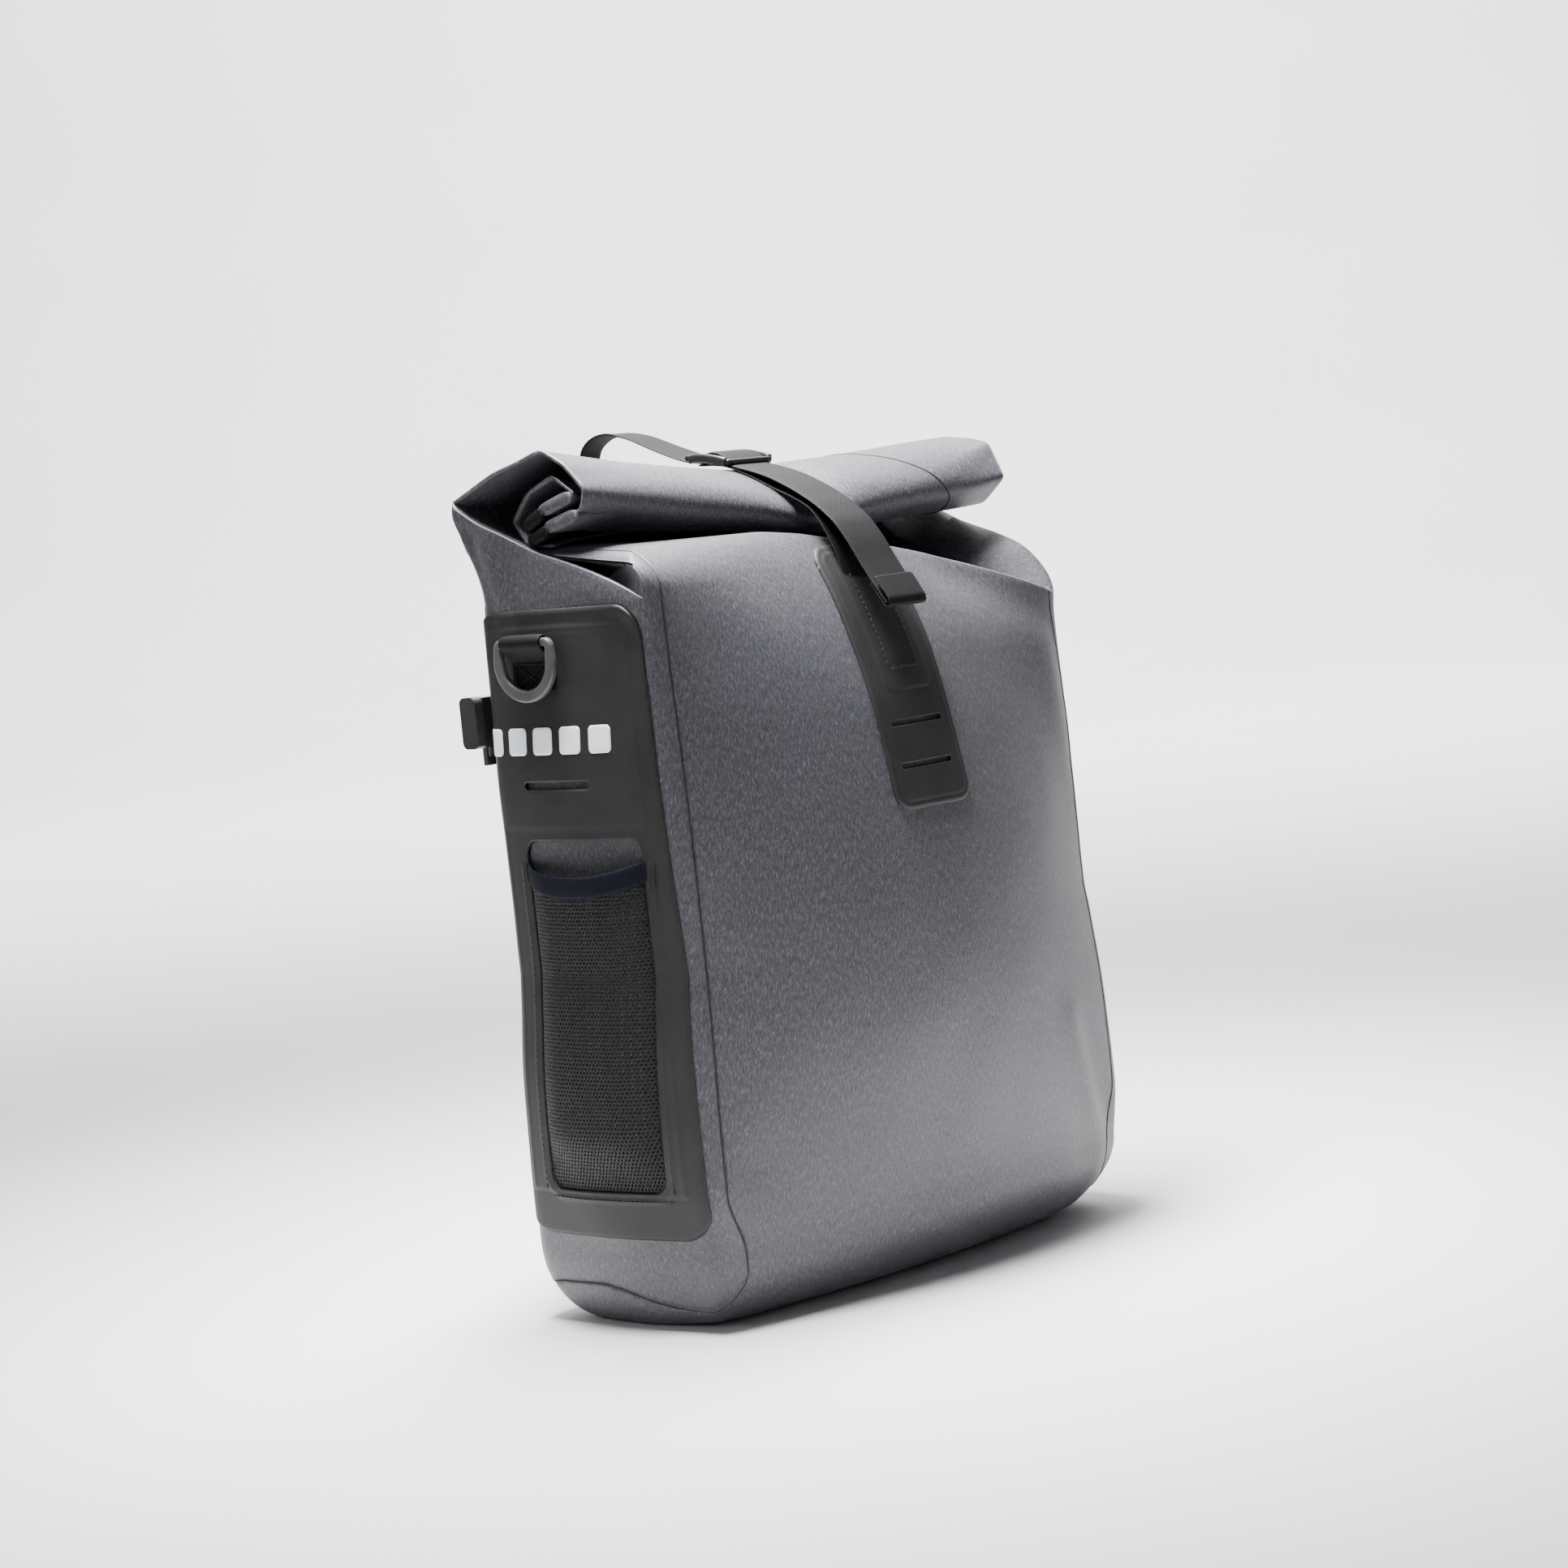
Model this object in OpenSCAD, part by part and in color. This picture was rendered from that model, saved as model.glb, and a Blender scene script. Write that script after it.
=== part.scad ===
// Roll-top bicycle pannier bag with a back mounting rail.
// +Z is up, -Y is the outer face, +X is the direction of travel, +Y faces the rack.
// The origin is on the ground under the middle of the bag.

/* [Body] */
// Width between the front seams at mid height
seam_w = 274; // [264:1:284]
// Depth from the back panel to the front seams
seam_d = 107; // [100:1:110]
// How far the filled front panel bulges past its seams
front_bulge = 39; // [25:1:39]
// How far each side gusset bulges past its seams
side_bulge = 7; // [6:1:10]
// Height of the seam round the base
base_h = 26; // [20:1:30]
// Height of the front panel's top edge, under the roll
roof_z = 341; // [335:1:342]
// Thickness of the coated fabric with its lining
fabric_t = 2; // [1.5:0.1:2.5]

/* [Roll closure] */
// Length of the closed roll
roll_len = 288; // [270:1:296]
// Depth of the roll, front to back
roll_d = 51; // [46:1:52]
// Height of the roll
roll_h = 36; // [34:1:38]
// Length of the plastic battens in the two hems
batten_len = 272; // [240:1:276]

/* [Straps] */
// Width of the webbing
web_w = 25; // [20:1:30]
// Thickness of the webbing
web_t = 1.5; // [1.2:0.1:1.8]
// Width of the welded rubber strip on the front
strip_w = 50; // [44:1:54]

/* [Side patches] */
// Thickness of the welded rubber patch
patch_t = 1.4; // [1:0.1:1.6]
// How far the mesh pocket stands off the gusset
pocket_gap = 6.5; // [6:0.5:8]
// Radius of the round bar of the D-ring
ring_bar_r = 2.2; // [1.8:0.1:2.4]
// Inner width of the D-ring
ring_in_w = 28; // [27:0.5:30]

/* [Mounting hardware] */
// Length of the aluminium mounting rail
rail_len = 274; // [240:1:276]
// Height of the rail's middle above the ground
rail_z = 267; // [262:1:270]
// Radius of the rack tube that the hooks take
tube_r = 8; // [7:0.5:8]
// Distance of each hook from the middle of the rail
hook_x = 92; // [70:1:100]
// Width of each hook
hook_w = 34; // [30:1:36]
// Radius of the latch pins
pin_r = 1.5; // [1.2:0.1:1.6]
// Height of the lower rail's middle above the ground
low_rail_z = 96; // [80:1:120]
// Length of the lower rail
low_rail_len = 130; // [110:1:150]

/* [Hidden] */
$fn = 64;

gap = 0.3;                       // clearance between pieces that only lie on each other
back_y = 57;                     // outer face of the back panel
seam_y = seam_d - back_y;        // front seams, counted towards -Y
seam_x = seam_w / 2;
back_seam_x = seam_x + 3;
back_seam_y = back_y - 7;
belly_z = 135;                   // height at which the front stands out most
belly_y = seam_y + front_bulge;
crest_y = 22;                    // the front panel's top edge, under the roll
foot_y = 30;
shoulder_z = 290;                // above this the front seams lean back to the roll
shoulder_pull = 22;
ear_z = 365;                     // top corners of the back panel
neck_z = 353;                    // the back panel's top edge behind the roll
roll_y = 5.5;
roll_z = 343 + roll_h / 2;
patch_lo = 45;
patch_hi = 314;
patch_half = 44;
window_lo = 62;
window_hi = 215;
window_back = 30;
window_front = -38;
ring_y = 14;
ring_z = 301;
ring_x = -149.2;
reflector_size = 12;
reflector_pitch = 16.5;
reflector_z = 258;
rail_d = 10;
rail_h = 22;
rail_back = back_y + rail_d;
liner_t = 1.4;
hook_wall = 2.6;
hook_bore = tube_r + liner_t;
plate_y = rail_back + gap;       // hook plate, from here
plate_t = 2.7;
tube_y = plate_y + plate_t + hook_bore;
tube_z = rail_z - 12;
pin_y = plate_y - 3;            // the latch pin sits below the rail, behind the plate
pin_z = tube_z - 11.7;
run = 0.06;                      // radial running clearance of a pin in its bore
low_rail_back = back_y + 8;
plate_thick = 3;                 // stiffener behind the back panel
swivel_r = 4;

// ---------------------------------------------------------------- helpers
function clamp01(t) = max(0, min(1, t));
function ease(t) = let (c = clamp01(t)) c * c * (3 - 2 * c);
function flat_list(m) = [for (row = m) for (p = row) p];

// Lower corners stand out a little, as a filled bag's do.
function flare(z) = 6 * max(0, 1 - pow((z - 45) / 110, 2));
function corner_x(z) = seam_x + flare(z);
function corner_y(z) = seam_y + 0.8 * flare(z)
    - shoulder_pull * pow(clamp01((z - shoulder_z) / (roof_z - shoulder_z)), 2.5);
function crown_y(z) = z > belly_z
    ? crest_y + (belly_y - crest_y) * pow(1 - pow((z - belly_z) / (roof_z + 2 - belly_z), 2), 0.62)
    : foot_y + (belly_y - foot_y) * sqrt(1 - pow((belly_z - z) / 160, 2));
// Outer face of the front panel, as a distance towards -Y, at u from -1 to 1 across it.
function front_y(u, z) = corner_y(z) + (crown_y(z) - corner_y(z)) * (1 - pow(abs(u), 2.2));
function side_fill(z) = min(1, 1.25 * sin(180 * clamp01((z + 10) / 340)));
// Outer face of a side gusset, as a distance from the middle.
function side_x(y, z) = corner_x(z) + 3 * clamp01((y + seam_y) / (seam_y + back_seam_y))
    + side_bulge * side_fill(z) * (1 - pow(y / 50, 2));
function neck_in(z) = ease((z - 322) / (neck_z - 322));
function back_face(u, z) = back_y - (back_y - back_seam_y) * pow(abs(u), 10)
    - 23 * neck_in(z) * (1 - pow(abs(u), 4));

function sheet_faces(r, c) = let (n = r * c) concat(
    [for (i = [0:r - 2], j = [0:c - 2], k = [0, 1]) let (a = i * c + j)
        k == 0 ? [a, a + 1, a + c + 1] : [a, a + c + 1, a + c]],
    [for (i = [0:r - 2], j = [0:c - 2], k = [0, 1]) let (a = n + i * c + j)
        k == 0 ? [a, a + c + 1, a + 1] : [a, a + c, a + c + 1]],
    [for (j = [0:c - 2], k = [0, 1]) k == 0 ? [n + j, n + j + 1, j + 1] : [n + j, j + 1, j]],
    [for (j = [0:c - 2], k = [0, 1]) let (a = (r - 1) * c + j)
        k == 0 ? [a, a + 1, n + a + 1] : [a, n + a + 1, n + a]],
    [for (i = [0:r - 2], k = [0, 1]) let (a = i * c)
        k == 0 ? [a, a + c, n + a + c] : [a, n + a + c, n + a]],
    [for (i = [0:r - 2], k = [0, 1]) let (a = i * c + c - 1)
        k == 0 ? [a + c, a, n + a] : [a + c, n + a, n + a + c]]);

// A curved sheet between two grids of points, closed round its edges.
module sheet(outer, inner) {
    polyhedron(concat(flat_list(outer), flat_list(inner)), sheet_faces(len(outer), len(outer[0])));
}

// A sheet that follows the front panel from lift lo to lift hi.
module front_sheet(half, z0, z1, lo, hi, nu, nz) {
    us = [for (i = [0:nu]) -half + 2 * half * i / nu];
    zs = [for (j = [0:nz]) z0 + (z1 - z0) * j / nz];
    sheet([for (u = us) [for (z = zs) [u * corner_x(z), -front_y(u, z) - hi, z]]],
        [for (u = us) [for (z = zs) [u * corner_x(z), -front_y(u, z) - lo, z]]]);
}

// A sheet that follows the left gusset; top and lift are given at each point by the caller.
module side_sheet(y0, y1, z0, tops, lo, hi, nz) {
    n = len(tops) - 1;
    ys = [for (i = [0:n]) y1 + (y0 - y1) * i / n];
    function pt(i, j, lift) = let (y = ys[i], z = z0 + (tops[i] - z0) * j / nz)
        [-side_x(y, z) - lift, y, z];
    sheet([for (i = [0:n]) [for (j = [0:nz]) pt(i, j, hi)]],
        [for (i = [0:n]) [for (j = [0:nz]) pt(i, j, lo)]]);
}

module along_x(length) {
    rotate([90, 0, 90]) linear_extrude(length, center = true) children();
}

module at_right() {
    mirror([1, 0, 0]) children();
}

module rounded_rect(w, h, r) {
    square([w - 2 * r, h], center = true);
    square([w, h - 2 * r], center = true);
    for (sx = [-1, 1], sy = [-1, 1])
        translate([sx * (w / 2 - r), sy * (h / 2 - r)]) circle(r);
}

// Smooth curve through the points p, with n steps between each two.
function spline_at(a, b, c, d, t) = 0.5 * (2 * b + (c - a) * t + (2 * a - 5 * b + 4 * c - d) * t * t
    + (3 * b - a - 3 * c + d) * t * t * t);
function spline(p, n) = let (m = len(p) - 1) concat(
    [for (i = [0:m - 1], k = [0:n - 1])
        spline_at(p[max(i - 1, 0)], p[i], p[i + 1], p[min(i + 2, m)], k / n)], [p[m]]);
function tangent(p, i) = let (d = p[min(i + 1, len(p) - 1)] - p[max(i - 1, 0)]) d / norm(d);
function normal2(p, i) = let (t = tangent(p, i)) [-t[1], t[0]];
function ribbon(p, t) = concat([for (i = [0:len(p) - 1]) p[i] - normal2(p, i) * t / 2],
    [for (i = [len(p) - 1:-1:0]) p[i] + normal2(p, i) * t / 2]);

// Webbing that follows points [y, z] in the middle plane of the bag.
module webbing(p, w, t) {
    along_x(w) polygon(ribbon(p, t));
}

// Hexagon with its flats d apart.
module hexagon(d, h) {
    cylinder(h = h, r = d / 2 / cos(30), $fn = 6);
}

module along_y() {
    rotate([-90, 0, 0]) children();
}

// ---------------------------------------------------------------- bag shell
module front_panel() {
    color("dimgray") front_sheet(1, base_h, roof_z, -fabric_t, 0, 16, 22);
}

module back_panel() {
    us = [for (i = [0:16]) 1 - i / 8];
    function top(u) = neck_z + (ear_z - neck_z) * pow(abs(u), 4);
    function pt(u, j, lift) = let (z = base_h + (top(u) - base_h) * j / 20)
        [u * (back_seam_x + flare(z)), back_face(u, z) + lift, z];
    color("dimgray") difference() {
        sheet([for (u = us) [for (j = [0:20]) pt(u, j, 0)]],
            [for (u = us) [for (j = [0:20]) pt(u, j, -fabric_t)]]);
        rail_screw_places() screw_hole();
        low_screw_places() screw_hole();
    }
}

module gusset_left() {
    n = 10;
    nz = 20;
    inset = fabric_t + 0.5;
    y_back = back_seam_y - inset;
    low_top = roof_z - 28;
    function pt(i, j, lift) = let (top = low_top + (ear_z - 7 - low_top) * (1 - i / n),
            z = base_h + (top - base_h) * j / nz,
            y = y_back + (inset - corner_y(z) - y_back) * i / n)
        [-side_x(y, z) - lift, y, z];
    sheet([for (i = [0:n]) [for (j = [0:nz]) pt(i, j, 0)]],
        [for (i = [0:n]) [for (j = [0:nz]) pt(i, j, -fabric_t)]]);
}

// The gusset's top edge is folded inwards and down, under the end of the roll.
module fold_left() {
    function edge(k) = [3.5 - seam_x - 2 * k, -38 + 80 * k, 316 + 26 * k];
    function crease(k) = [-84, -26 + 52 * k, 306 + 14 * k];
    rows = [for (i = [0:6]) 1 - i / 6];
    sheet([for (k = rows) [for (s = [0:4]) let (p = edge(k) * (1 - s / 4) + crease(k) * s / 4)
            p + [0, 0, -7 * sin(45 * s)]]],
        [for (k = rows) [for (s = [0:4]) let (p = edge(k) * (1 - s / 4) + crease(k) * s / 4)
            p + [0, 0, -7 * sin(45 * s) - fabric_t]]]);
}

// Tray of scaled copies of the bag's outline, flat in the middle and rising to the seam.
module base_panel() {
    n = 16;
    flat_part = 0.7;
    mid_y = 36;                  // near the back, so that the bag stands on its flat part
    function spread(k) = sin(90 * (2 * k / n - 1));
    function rise(r) = let (t = clamp01((r - flat_part) / (1 - flat_part)))
        (base_h - 0.4) * (1 - sqrt(1 - t * t));
    function edge(a, b) = let (back = back_face(a, base_h), front = -front_y(a, base_h),
            y = (back * (1 + b) + front * (1 - b)) / 2)
        [a * side_x(max(-50, min(50, y)), base_h), y];
    function pt(u, v, shrink, lift) = let (r = max(abs(u), abs(v), 0.001), e = edge(u / r, v / r))
        [e[0] * r * shrink, mid_y + (e[1] - mid_y) * r * shrink, rise(r) + lift * (1 - pow(r, 8))];
    color("dimgray")
        sheet([for (i = [0:n]) [for (j = [n:-1:0]) pt(spread(i), spread(j), 1, 0)]],
            [for (i = [0:n]) [for (j = [n:-1:0]) pt(spread(i), spread(j), 0.975, fabric_t)]]);
}

module back_plate() {
    color("black") difference() {
        along_y() translate([0, -176, back_y - fabric_t - 0.5 - plate_thick])
            linear_extrude(plate_thick) rounded_rect(208, 282, 18);
        rail_screw_places() screw_hole();
        low_screw_places() screw_hole();
    }
}

// ---------------------------------------------------------------- roll closure
module roll_tube(d, h, r) {
    along_x(roll_len) translate([roll_y, roll_z]) difference() {
        rounded_rect(d, h, r);
        rounded_rect(d - 2 * fabric_t, h - 2 * fabric_t, r - fabric_t);
    }
}

module roll_outer() {
    color("dimgray") roll_tube(roll_d, roll_h, 15);
}

module roll_inner() {
    step = 2 * fabric_t + 2 * gap;
    color("dimgray") roll_tube(roll_d - step, roll_h - step, 12);
}

hem_w = 27;
hem_h = 7;
module hem_place(level) {
    translate([roll_y, roll_z + level]) rotate(24) children();
}

module hem(level) {
    along_x(roll_len - 6) hem_place(level) difference() {
        rounded_rect(hem_w, hem_h, 3.4);
        rounded_rect(hem_w - 3.6, hem_h - 3.6, 1.6);
    }
}

module batten(level) {
    along_x(batten_len) hem_place(level) rounded_rect(hem_w - 4.6, hem_h - 4.4, 1.2);
}

// ---------------------------------------------------------------- side patches
module side_patch() {
    n = 10;
    difference() {
        side_sheet(-patch_half, patch_half, patch_lo, [for (i = [0:n]) patch_hi], gap,
            gap + patch_t, 18);
        translate([-200, window_front, window_lo])
            cube([100, window_back - window_front, window_hi - window_lo]);
        translate([-200, -14, 237]) cube([100, 40, 3]);
    }
}

module mesh_pocket() {
    n = 10;
    nz = 12;
    y0 = window_front + 1;
    y1 = window_back - 1;
    top = 202;
    function lift(y, z) = gap + pocket_gap
        * (1 - pow(abs(2 * (y - (y0 + y1) / 2) / (y1 - y0)), 6)) * ease((z - window_lo) / 26);
    function pt(i, j, t) = let (y = y1 + (y0 - y1) * i / n, z = window_lo + 1 + (top - window_lo) * j / nz)
        [-side_x(y, z) - lift(y, z) - t, y, z];
    sheet([for (i = [0:n]) [for (j = [0:nz]) pt(i, j, 0.8)]],
        [for (i = [0:n]) [for (j = [0:nz]) pt(i, j, 0)]]);
}

module pocket_binding() {
    n = 12;
    y0 = window_front + 1;
    y1 = window_back - 1;
    function lift(y) = gap + pocket_gap * (1 - pow(abs(2 * (y - (y0 + y1) / 2) / (y1 - y0)), 6));
    function pt(i, j, t) = let (y = y1 + (y0 - y1) * i / n, z = 203.4 + 8 * j / 2)
        [-side_x(y, z) - lift(y) - t, y, z];
    sheet([for (i = [0:n]) [for (j = [0:2]) pt(i, j, 1.6)]],
        [for (i = [0:n]) [for (j = [0:2]) pt(i, j, 0)]]);
}

// Five small squares, each laid flat on the bulging patch.
module reflectors() {
    for (k = [-2:2]) {
        y = 5 + k * reflector_pitch;
        lean = atan2(side_x(y + 5, reflector_z) - side_x(y - 5, reflector_z), 10);
        reach = side_x(y, reflector_z) + gap + patch_t + 0.7;
        translate([-reach, y, reflector_z]) rotate([0, 0, lean]) rotate([0, -90, 0])
            linear_extrude(0.5) rounded_rect(reflector_size, reflector_size, 2.2);
    }
}

// Webbing folded round the D-ring's bar and stitched to the patch.
module ring_loop() {
    bore = ring_bar_r + 0.1;
    back = -side_x(ring_y, ring_z - 12) - gap - patch_t - gap;
    translate([0, ring_y, 0]) rotate([90, 0, 0]) linear_extrude(web_w, center = true) {
        difference() {
            union() {
                translate([ring_x, ring_z]) circle(bore + web_t);
                translate([ring_x, ring_z - bore - web_t]) square([back - ring_x, bore + web_t]);
            }
            translate([ring_x, ring_z]) circle(bore);
        }
    }
}

module d_ring() {
    r = ring_bar_r;
    half = ring_in_w / 2 + r;
    drop = 8;
    translate([ring_x, ring_y, ring_z]) {
        rotate([90, 0, 0]) cylinder(h = 2 * half, r = r, center = true);
        for (s = [-1, 1]) translate([0, s * half, -drop]) cylinder(h = drop, r = r);
        for (s = [-1, 1]) translate([0, s * half, 0]) sphere(r);
        translate([0, 0, -drop]) rotate([0, 90, 0]) rotate([0, 0, -90])
            rotate_extrude(angle = 180) translate([half, 0]) circle(r);
    }
}

// ---------------------------------------------------------------- straps and buckle
strip_t = 1.7;
strap_lift = 3 * gap + strip_t + web_t / 2;
strap_path = spline(concat([for (z = [222, 246, 270, 292, 312, 328]) [-front_y(0, z) - strap_lift, z]],
    [[-36.5, 339], [-27, 347], [-22, 356], [-21.2, 365], [-18.9, 372.2], [-13.1, 378], [-5, 380.2],
    [10, 380.2]]), 3);
tail_path = spline([[5, 384.4], [-6, 384.2], [-16, 381], [-24, 373], [-30, 361], [-39, 348], [-50, 334],
    [-61, 319], [-70, 304], [-75, 295]], 3);

module front_strip() {
    color([0.2, 0.2, 0.2]) difference() {
        front_sheet(strip_w / 2 / corner_x(260), 210, 329, gap, gap + strip_t, 4, 14);
        for (z = [228, 247]) translate([-18, -120, z]) cube([34, 100, 2.4]);
    }
}

module closure_strap() {
    color([0.13, 0.13, 0.13]) webbing(strap_path, web_w, web_t);
}

module strap_tail() {
    color([0.13, 0.13, 0.13]) {
        webbing(tail_path, web_w, web_t);
        translate([0, -76.6, 292.8]) rotate([-27, 0, 0]) cube([web_w, 4.2, 7], center = true);
    }
}

// Ladder-lock frame with a middle bar and a hooked back edge.
module buckle() {
    bar = 2.6;
    translate([0, 21, 383.8]) color([0.16, 0.16, 0.16]) {
        for (s = [-1, 1]) translate([s * (web_w / 2 + 2.2), 0, 0])
            along_y() translate([0, 0, -15]) linear_extrude(30) rounded_rect(3, 5, 1.2);
        for (y = [-13, 0, 13])
            translate([0, y, 0]) along_x(web_w + 4.4) rounded_rect(bar, bar + 0.4, 1);
    }
}

// The back strap rises from the buckle in a loose arch and drops to its anchor behind the roll.
carry_path = spline([[0, 37, 382], [-2, 47, 377], [-6, 58, 380.5], [-12, 70, 387.5], [-18.5, 80, 390.5],
    [-26, 87, 385], [-28, 88.5, 371], [-23, 85, 353], [-14, 76, 335], [-4, 65.5, 316], [0, 61, 301],
    [0, 59.9, 286]], 3);

module carry_strap() {
    n = len(carry_path) - 1;
    function across(i) = let (t = tangent(carry_path, i), w = [1, 0, 0] - t * t[0]) w / norm(w);
    function up(i) = cross(across(i), tangent(carry_path, i));
    function row(i, s) = [for (k = [-1, 1]) carry_path[i] + across(i) * k * web_w / 2 + up(i) * s];
    color([0.13, 0.13, 0.13])
        sheet([for (i = [n:-1:0]) row(i, web_t / 2)], [for (i = [n:-1:0]) row(i, -web_t / 2)]);
}

module strap_anchor() {
    color([0.2, 0.2, 0.2]) along_y() translate([0, -306, back_y + 0.1])
        linear_extrude(1.4) rounded_rect(60, 50, 8);
}

// ---------------------------------------------------------------- mounting hardware
module screw_hole() {
    along_y() translate([0, 0, -12]) cylinder(h = 30, r = 2.6);
}

module rail_screw_places() {
    for (x = [-92, -34, 34, 92]) translate([x, back_y, rail_z]) children();
}

module low_screw_places() {
    for (x = [-44, 44]) translate([x, back_y, low_rail_z]) children();
}

module countersunk_screw(length) {
    along_y() {
        translate([0, 0, 3 - length]) cylinder(h = length - 0.2, r = 2.5);
        translate([0, 0, 0.4]) cylinder(h = 2.4, r1 = 2.5, r2 = 4.6);
    }
}

module countersink() {
    along_y() translate([0, 0, 0.4]) cylinder(h = 2.61, r1 = 2.6, r2 = 4.9);
}

// Washer and hexagon nut on the inside of the back plate.
module nut_and_washer() {
    inner_face = -fabric_t - 0.5 - plate_thick;
    along_y() difference() {
        union() {
            translate([0, 0, inner_face - 1.2]) cylinder(h = 1.2, r = 7);
            translate([0, 0, inner_face - 5.2]) hexagon(8, 4.1);
        }
        translate([0, 0, -20]) cylinder(h = 30, r = 2.5);
    }
}

// Slotted channel seen from its end; the slot opens towards +Y.
module channel(depth, height, slot, room) {
    difference() {
        translate([0, -height / 2]) square([depth, height]);
        translate([3, -room / 2]) square([depth - 5, room]);
        translate([3, -slot / 2]) square([depth, slot]);
    }
}

module mounting_rail() {
    color([0.25, 0.25, 0.26]) difference() {
        along_x(rail_len) translate([back_y, rail_z]) channel(rail_d, rail_h, 9, 14);
        rail_screw_places() screw_hole();
        rail_screw_places() countersink();
    }
}

module rail_cap() {
    color([0.12, 0.12, 0.12]) translate([-rail_len / 2 - 2.5, back_y + rail_d / 2 + 0.3, rail_z])
        rotate([90, 0, 90]) linear_extrude(5, center = true) rounded_rect(rail_d, rail_h + 1, 3);
}

module rail_screws() {
    color("silver") rail_screw_places() countersunk_screw(13);
}

module rail_nuts() {
    color("silver") rail_screw_places() nut_and_washer();
}

// Inverted U that drops over the rack tube, on a foot that slides in the rail.
module hook(x) {
    ear_w = 4;
    outer_r = hook_bore + hook_wall;
    color([0.15, 0.15, 0.15]) translate([x, 0, 0]) {
        along_x(hook_w) translate([back_y + 3.2, rail_z - 6.8]) square([rail_d - 5.4, 13.6]);
        along_x(hook_w) translate([back_y + 7, rail_z - 4.3]) square([plate_y - back_y - 6.9, 8.6]);
        difference() {
            union() {
                along_x(hook_w) {
                    translate([plate_y, pin_z + 4]) square([plate_t, rail_z + 9 - pin_z - 4]);
                    translate([tube_y, tube_z]) circle(outer_r);
                    translate([tube_y, tube_z - 10]) square([outer_r, 10]);
                    translate([plate_y, tube_z]) square([9, outer_r]);
                }
                for (s = [-1, 1]) translate([s * (hook_w - ear_w) / 2, 0, 0]) along_x(ear_w) {
                    translate([pin_y, pin_z]) circle(4);
                    translate([pin_y, pin_z - 4]) square([plate_y + plate_t - pin_y, 8]);
                }
            }
            along_x(hook_w + 2) {
                translate([tube_y, tube_z]) circle(hook_bore);
                translate([tube_y - hook_bore, tube_z - 20]) square([2 * hook_bore, 20]);
                translate([pin_y, pin_z]) circle(pin_r);
            }
        }
    }
}

// Plastic liner that fits the hook to the tube.
module hook_liner(x) {
    color([0.3, 0.3, 0.3]) translate([x, 0, 0]) along_x(hook_w - 2)
        translate([tube_y, tube_z]) difference() {
            union() {
                circle(hook_bore);
                translate([-hook_bore, -6]) square([2 * hook_bore, 6]);
            }
            circle(tube_r);
            translate([-tube_r, -8]) square([2 * tube_r, 8]);
            translate([-20, -40]) square([40, 34]);
        }
}

// Finger that closes the hook's mouth under the tube, with a thumb tab at its end.
module latch(x) {
    latch_w = 18;
    color([0.2, 0.2, 0.2]) translate([x, 0, 0]) difference() {
        along_x(latch_w) translate([pin_y, pin_z]) {
            circle(3.1);
            polygon([[0, -3.1], [14, -2.4], [16, -6.5], [18.5, -6.5], [22, -1], [22.6, 2], [20, 3.1],
                [0, 3.1]]);
        }
        along_x(latch_w + 2) translate([pin_y, pin_z]) circle(pin_r + run);
    }
}

module latch_pin(x) {
    color("silver") translate([x, 0, 0])
        along_x(hook_w) translate([pin_y, pin_z]) circle(pin_r);
}

// Torsion spring round the pin, as its stack of turns.
module latch_spring(x) {
    wire = 0.4;
    color("silver") for (s = [-1, 1], k = [0:2])
        translate([x + s * (10.1 + k * 0.9), pin_y, pin_z]) rotate([0, 90, 0])
            rotate_extrude() translate([pin_r + run + wire, 0]) circle(wire, $fn = 16);
}

module lower_rail() {
    color([0.15, 0.15, 0.15]) difference() {
        along_x(low_rail_len) translate([back_y, low_rail_z]) channel(8, 20, 8, 12);
        low_screw_places() screw_hole();
        low_screw_places() countersink();
    }
}

module lower_rail_screws() {
    color("silver") low_screw_places() countersunk_screw(13);
}

module lower_rail_nuts() {
    color("silver") low_screw_places() nut_and_washer();
}

// Foot in the lower rail, with the round post that the lower hook turns on.
module lower_slider() {
    color([0.2, 0.2, 0.2]) {
        along_x(26) translate([back_y + 3.2, low_rail_z - 5.8]) square([2.6, 11.6]);
        along_x(26) translate([back_y + 5.6, low_rail_z - 3.8]) square([2.9, 7.6]);
        translate([0, low_rail_back + 0.3, low_rail_z]) along_y() cylinder(h = 1.2, r = 11);
        translate([0, low_rail_back + 1.4, low_rail_z]) along_y() cylinder(h = 8.4, r = swivel_r);
    }
}

// Arm that turns on the post and hooks behind the rack strut.
module lower_hook() {
    near = low_rail_back + 1.7;
    arm_t = 4.5;
    color([0.15, 0.15, 0.15]) difference() {
        union() {
            translate([0, near, low_rail_z]) along_y() cylinder(h = arm_t, r = 11);
            translate([-9, near, low_rail_z - 44]) cube([18, arm_t, 44]);
            translate([-9, near, low_rail_z - 50]) cube([18, 22, 6.1]);
            translate([-9, near + 18, low_rail_z - 50]) cube([18, 4, 24]);
        }
        translate([0, near - 1, low_rail_z]) along_y() cylinder(h = arm_t + 2, r = swivel_r + run);
    }
}

module lower_hook_washer() {
    color("silver") translate([0, low_rail_back + 6.5, low_rail_z]) along_y() difference() {
        cylinder(h = 2.4, r = 8);
        translate([0, 0, -1]) cylinder(h = 5, r = swivel_r);
    }
}

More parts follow.
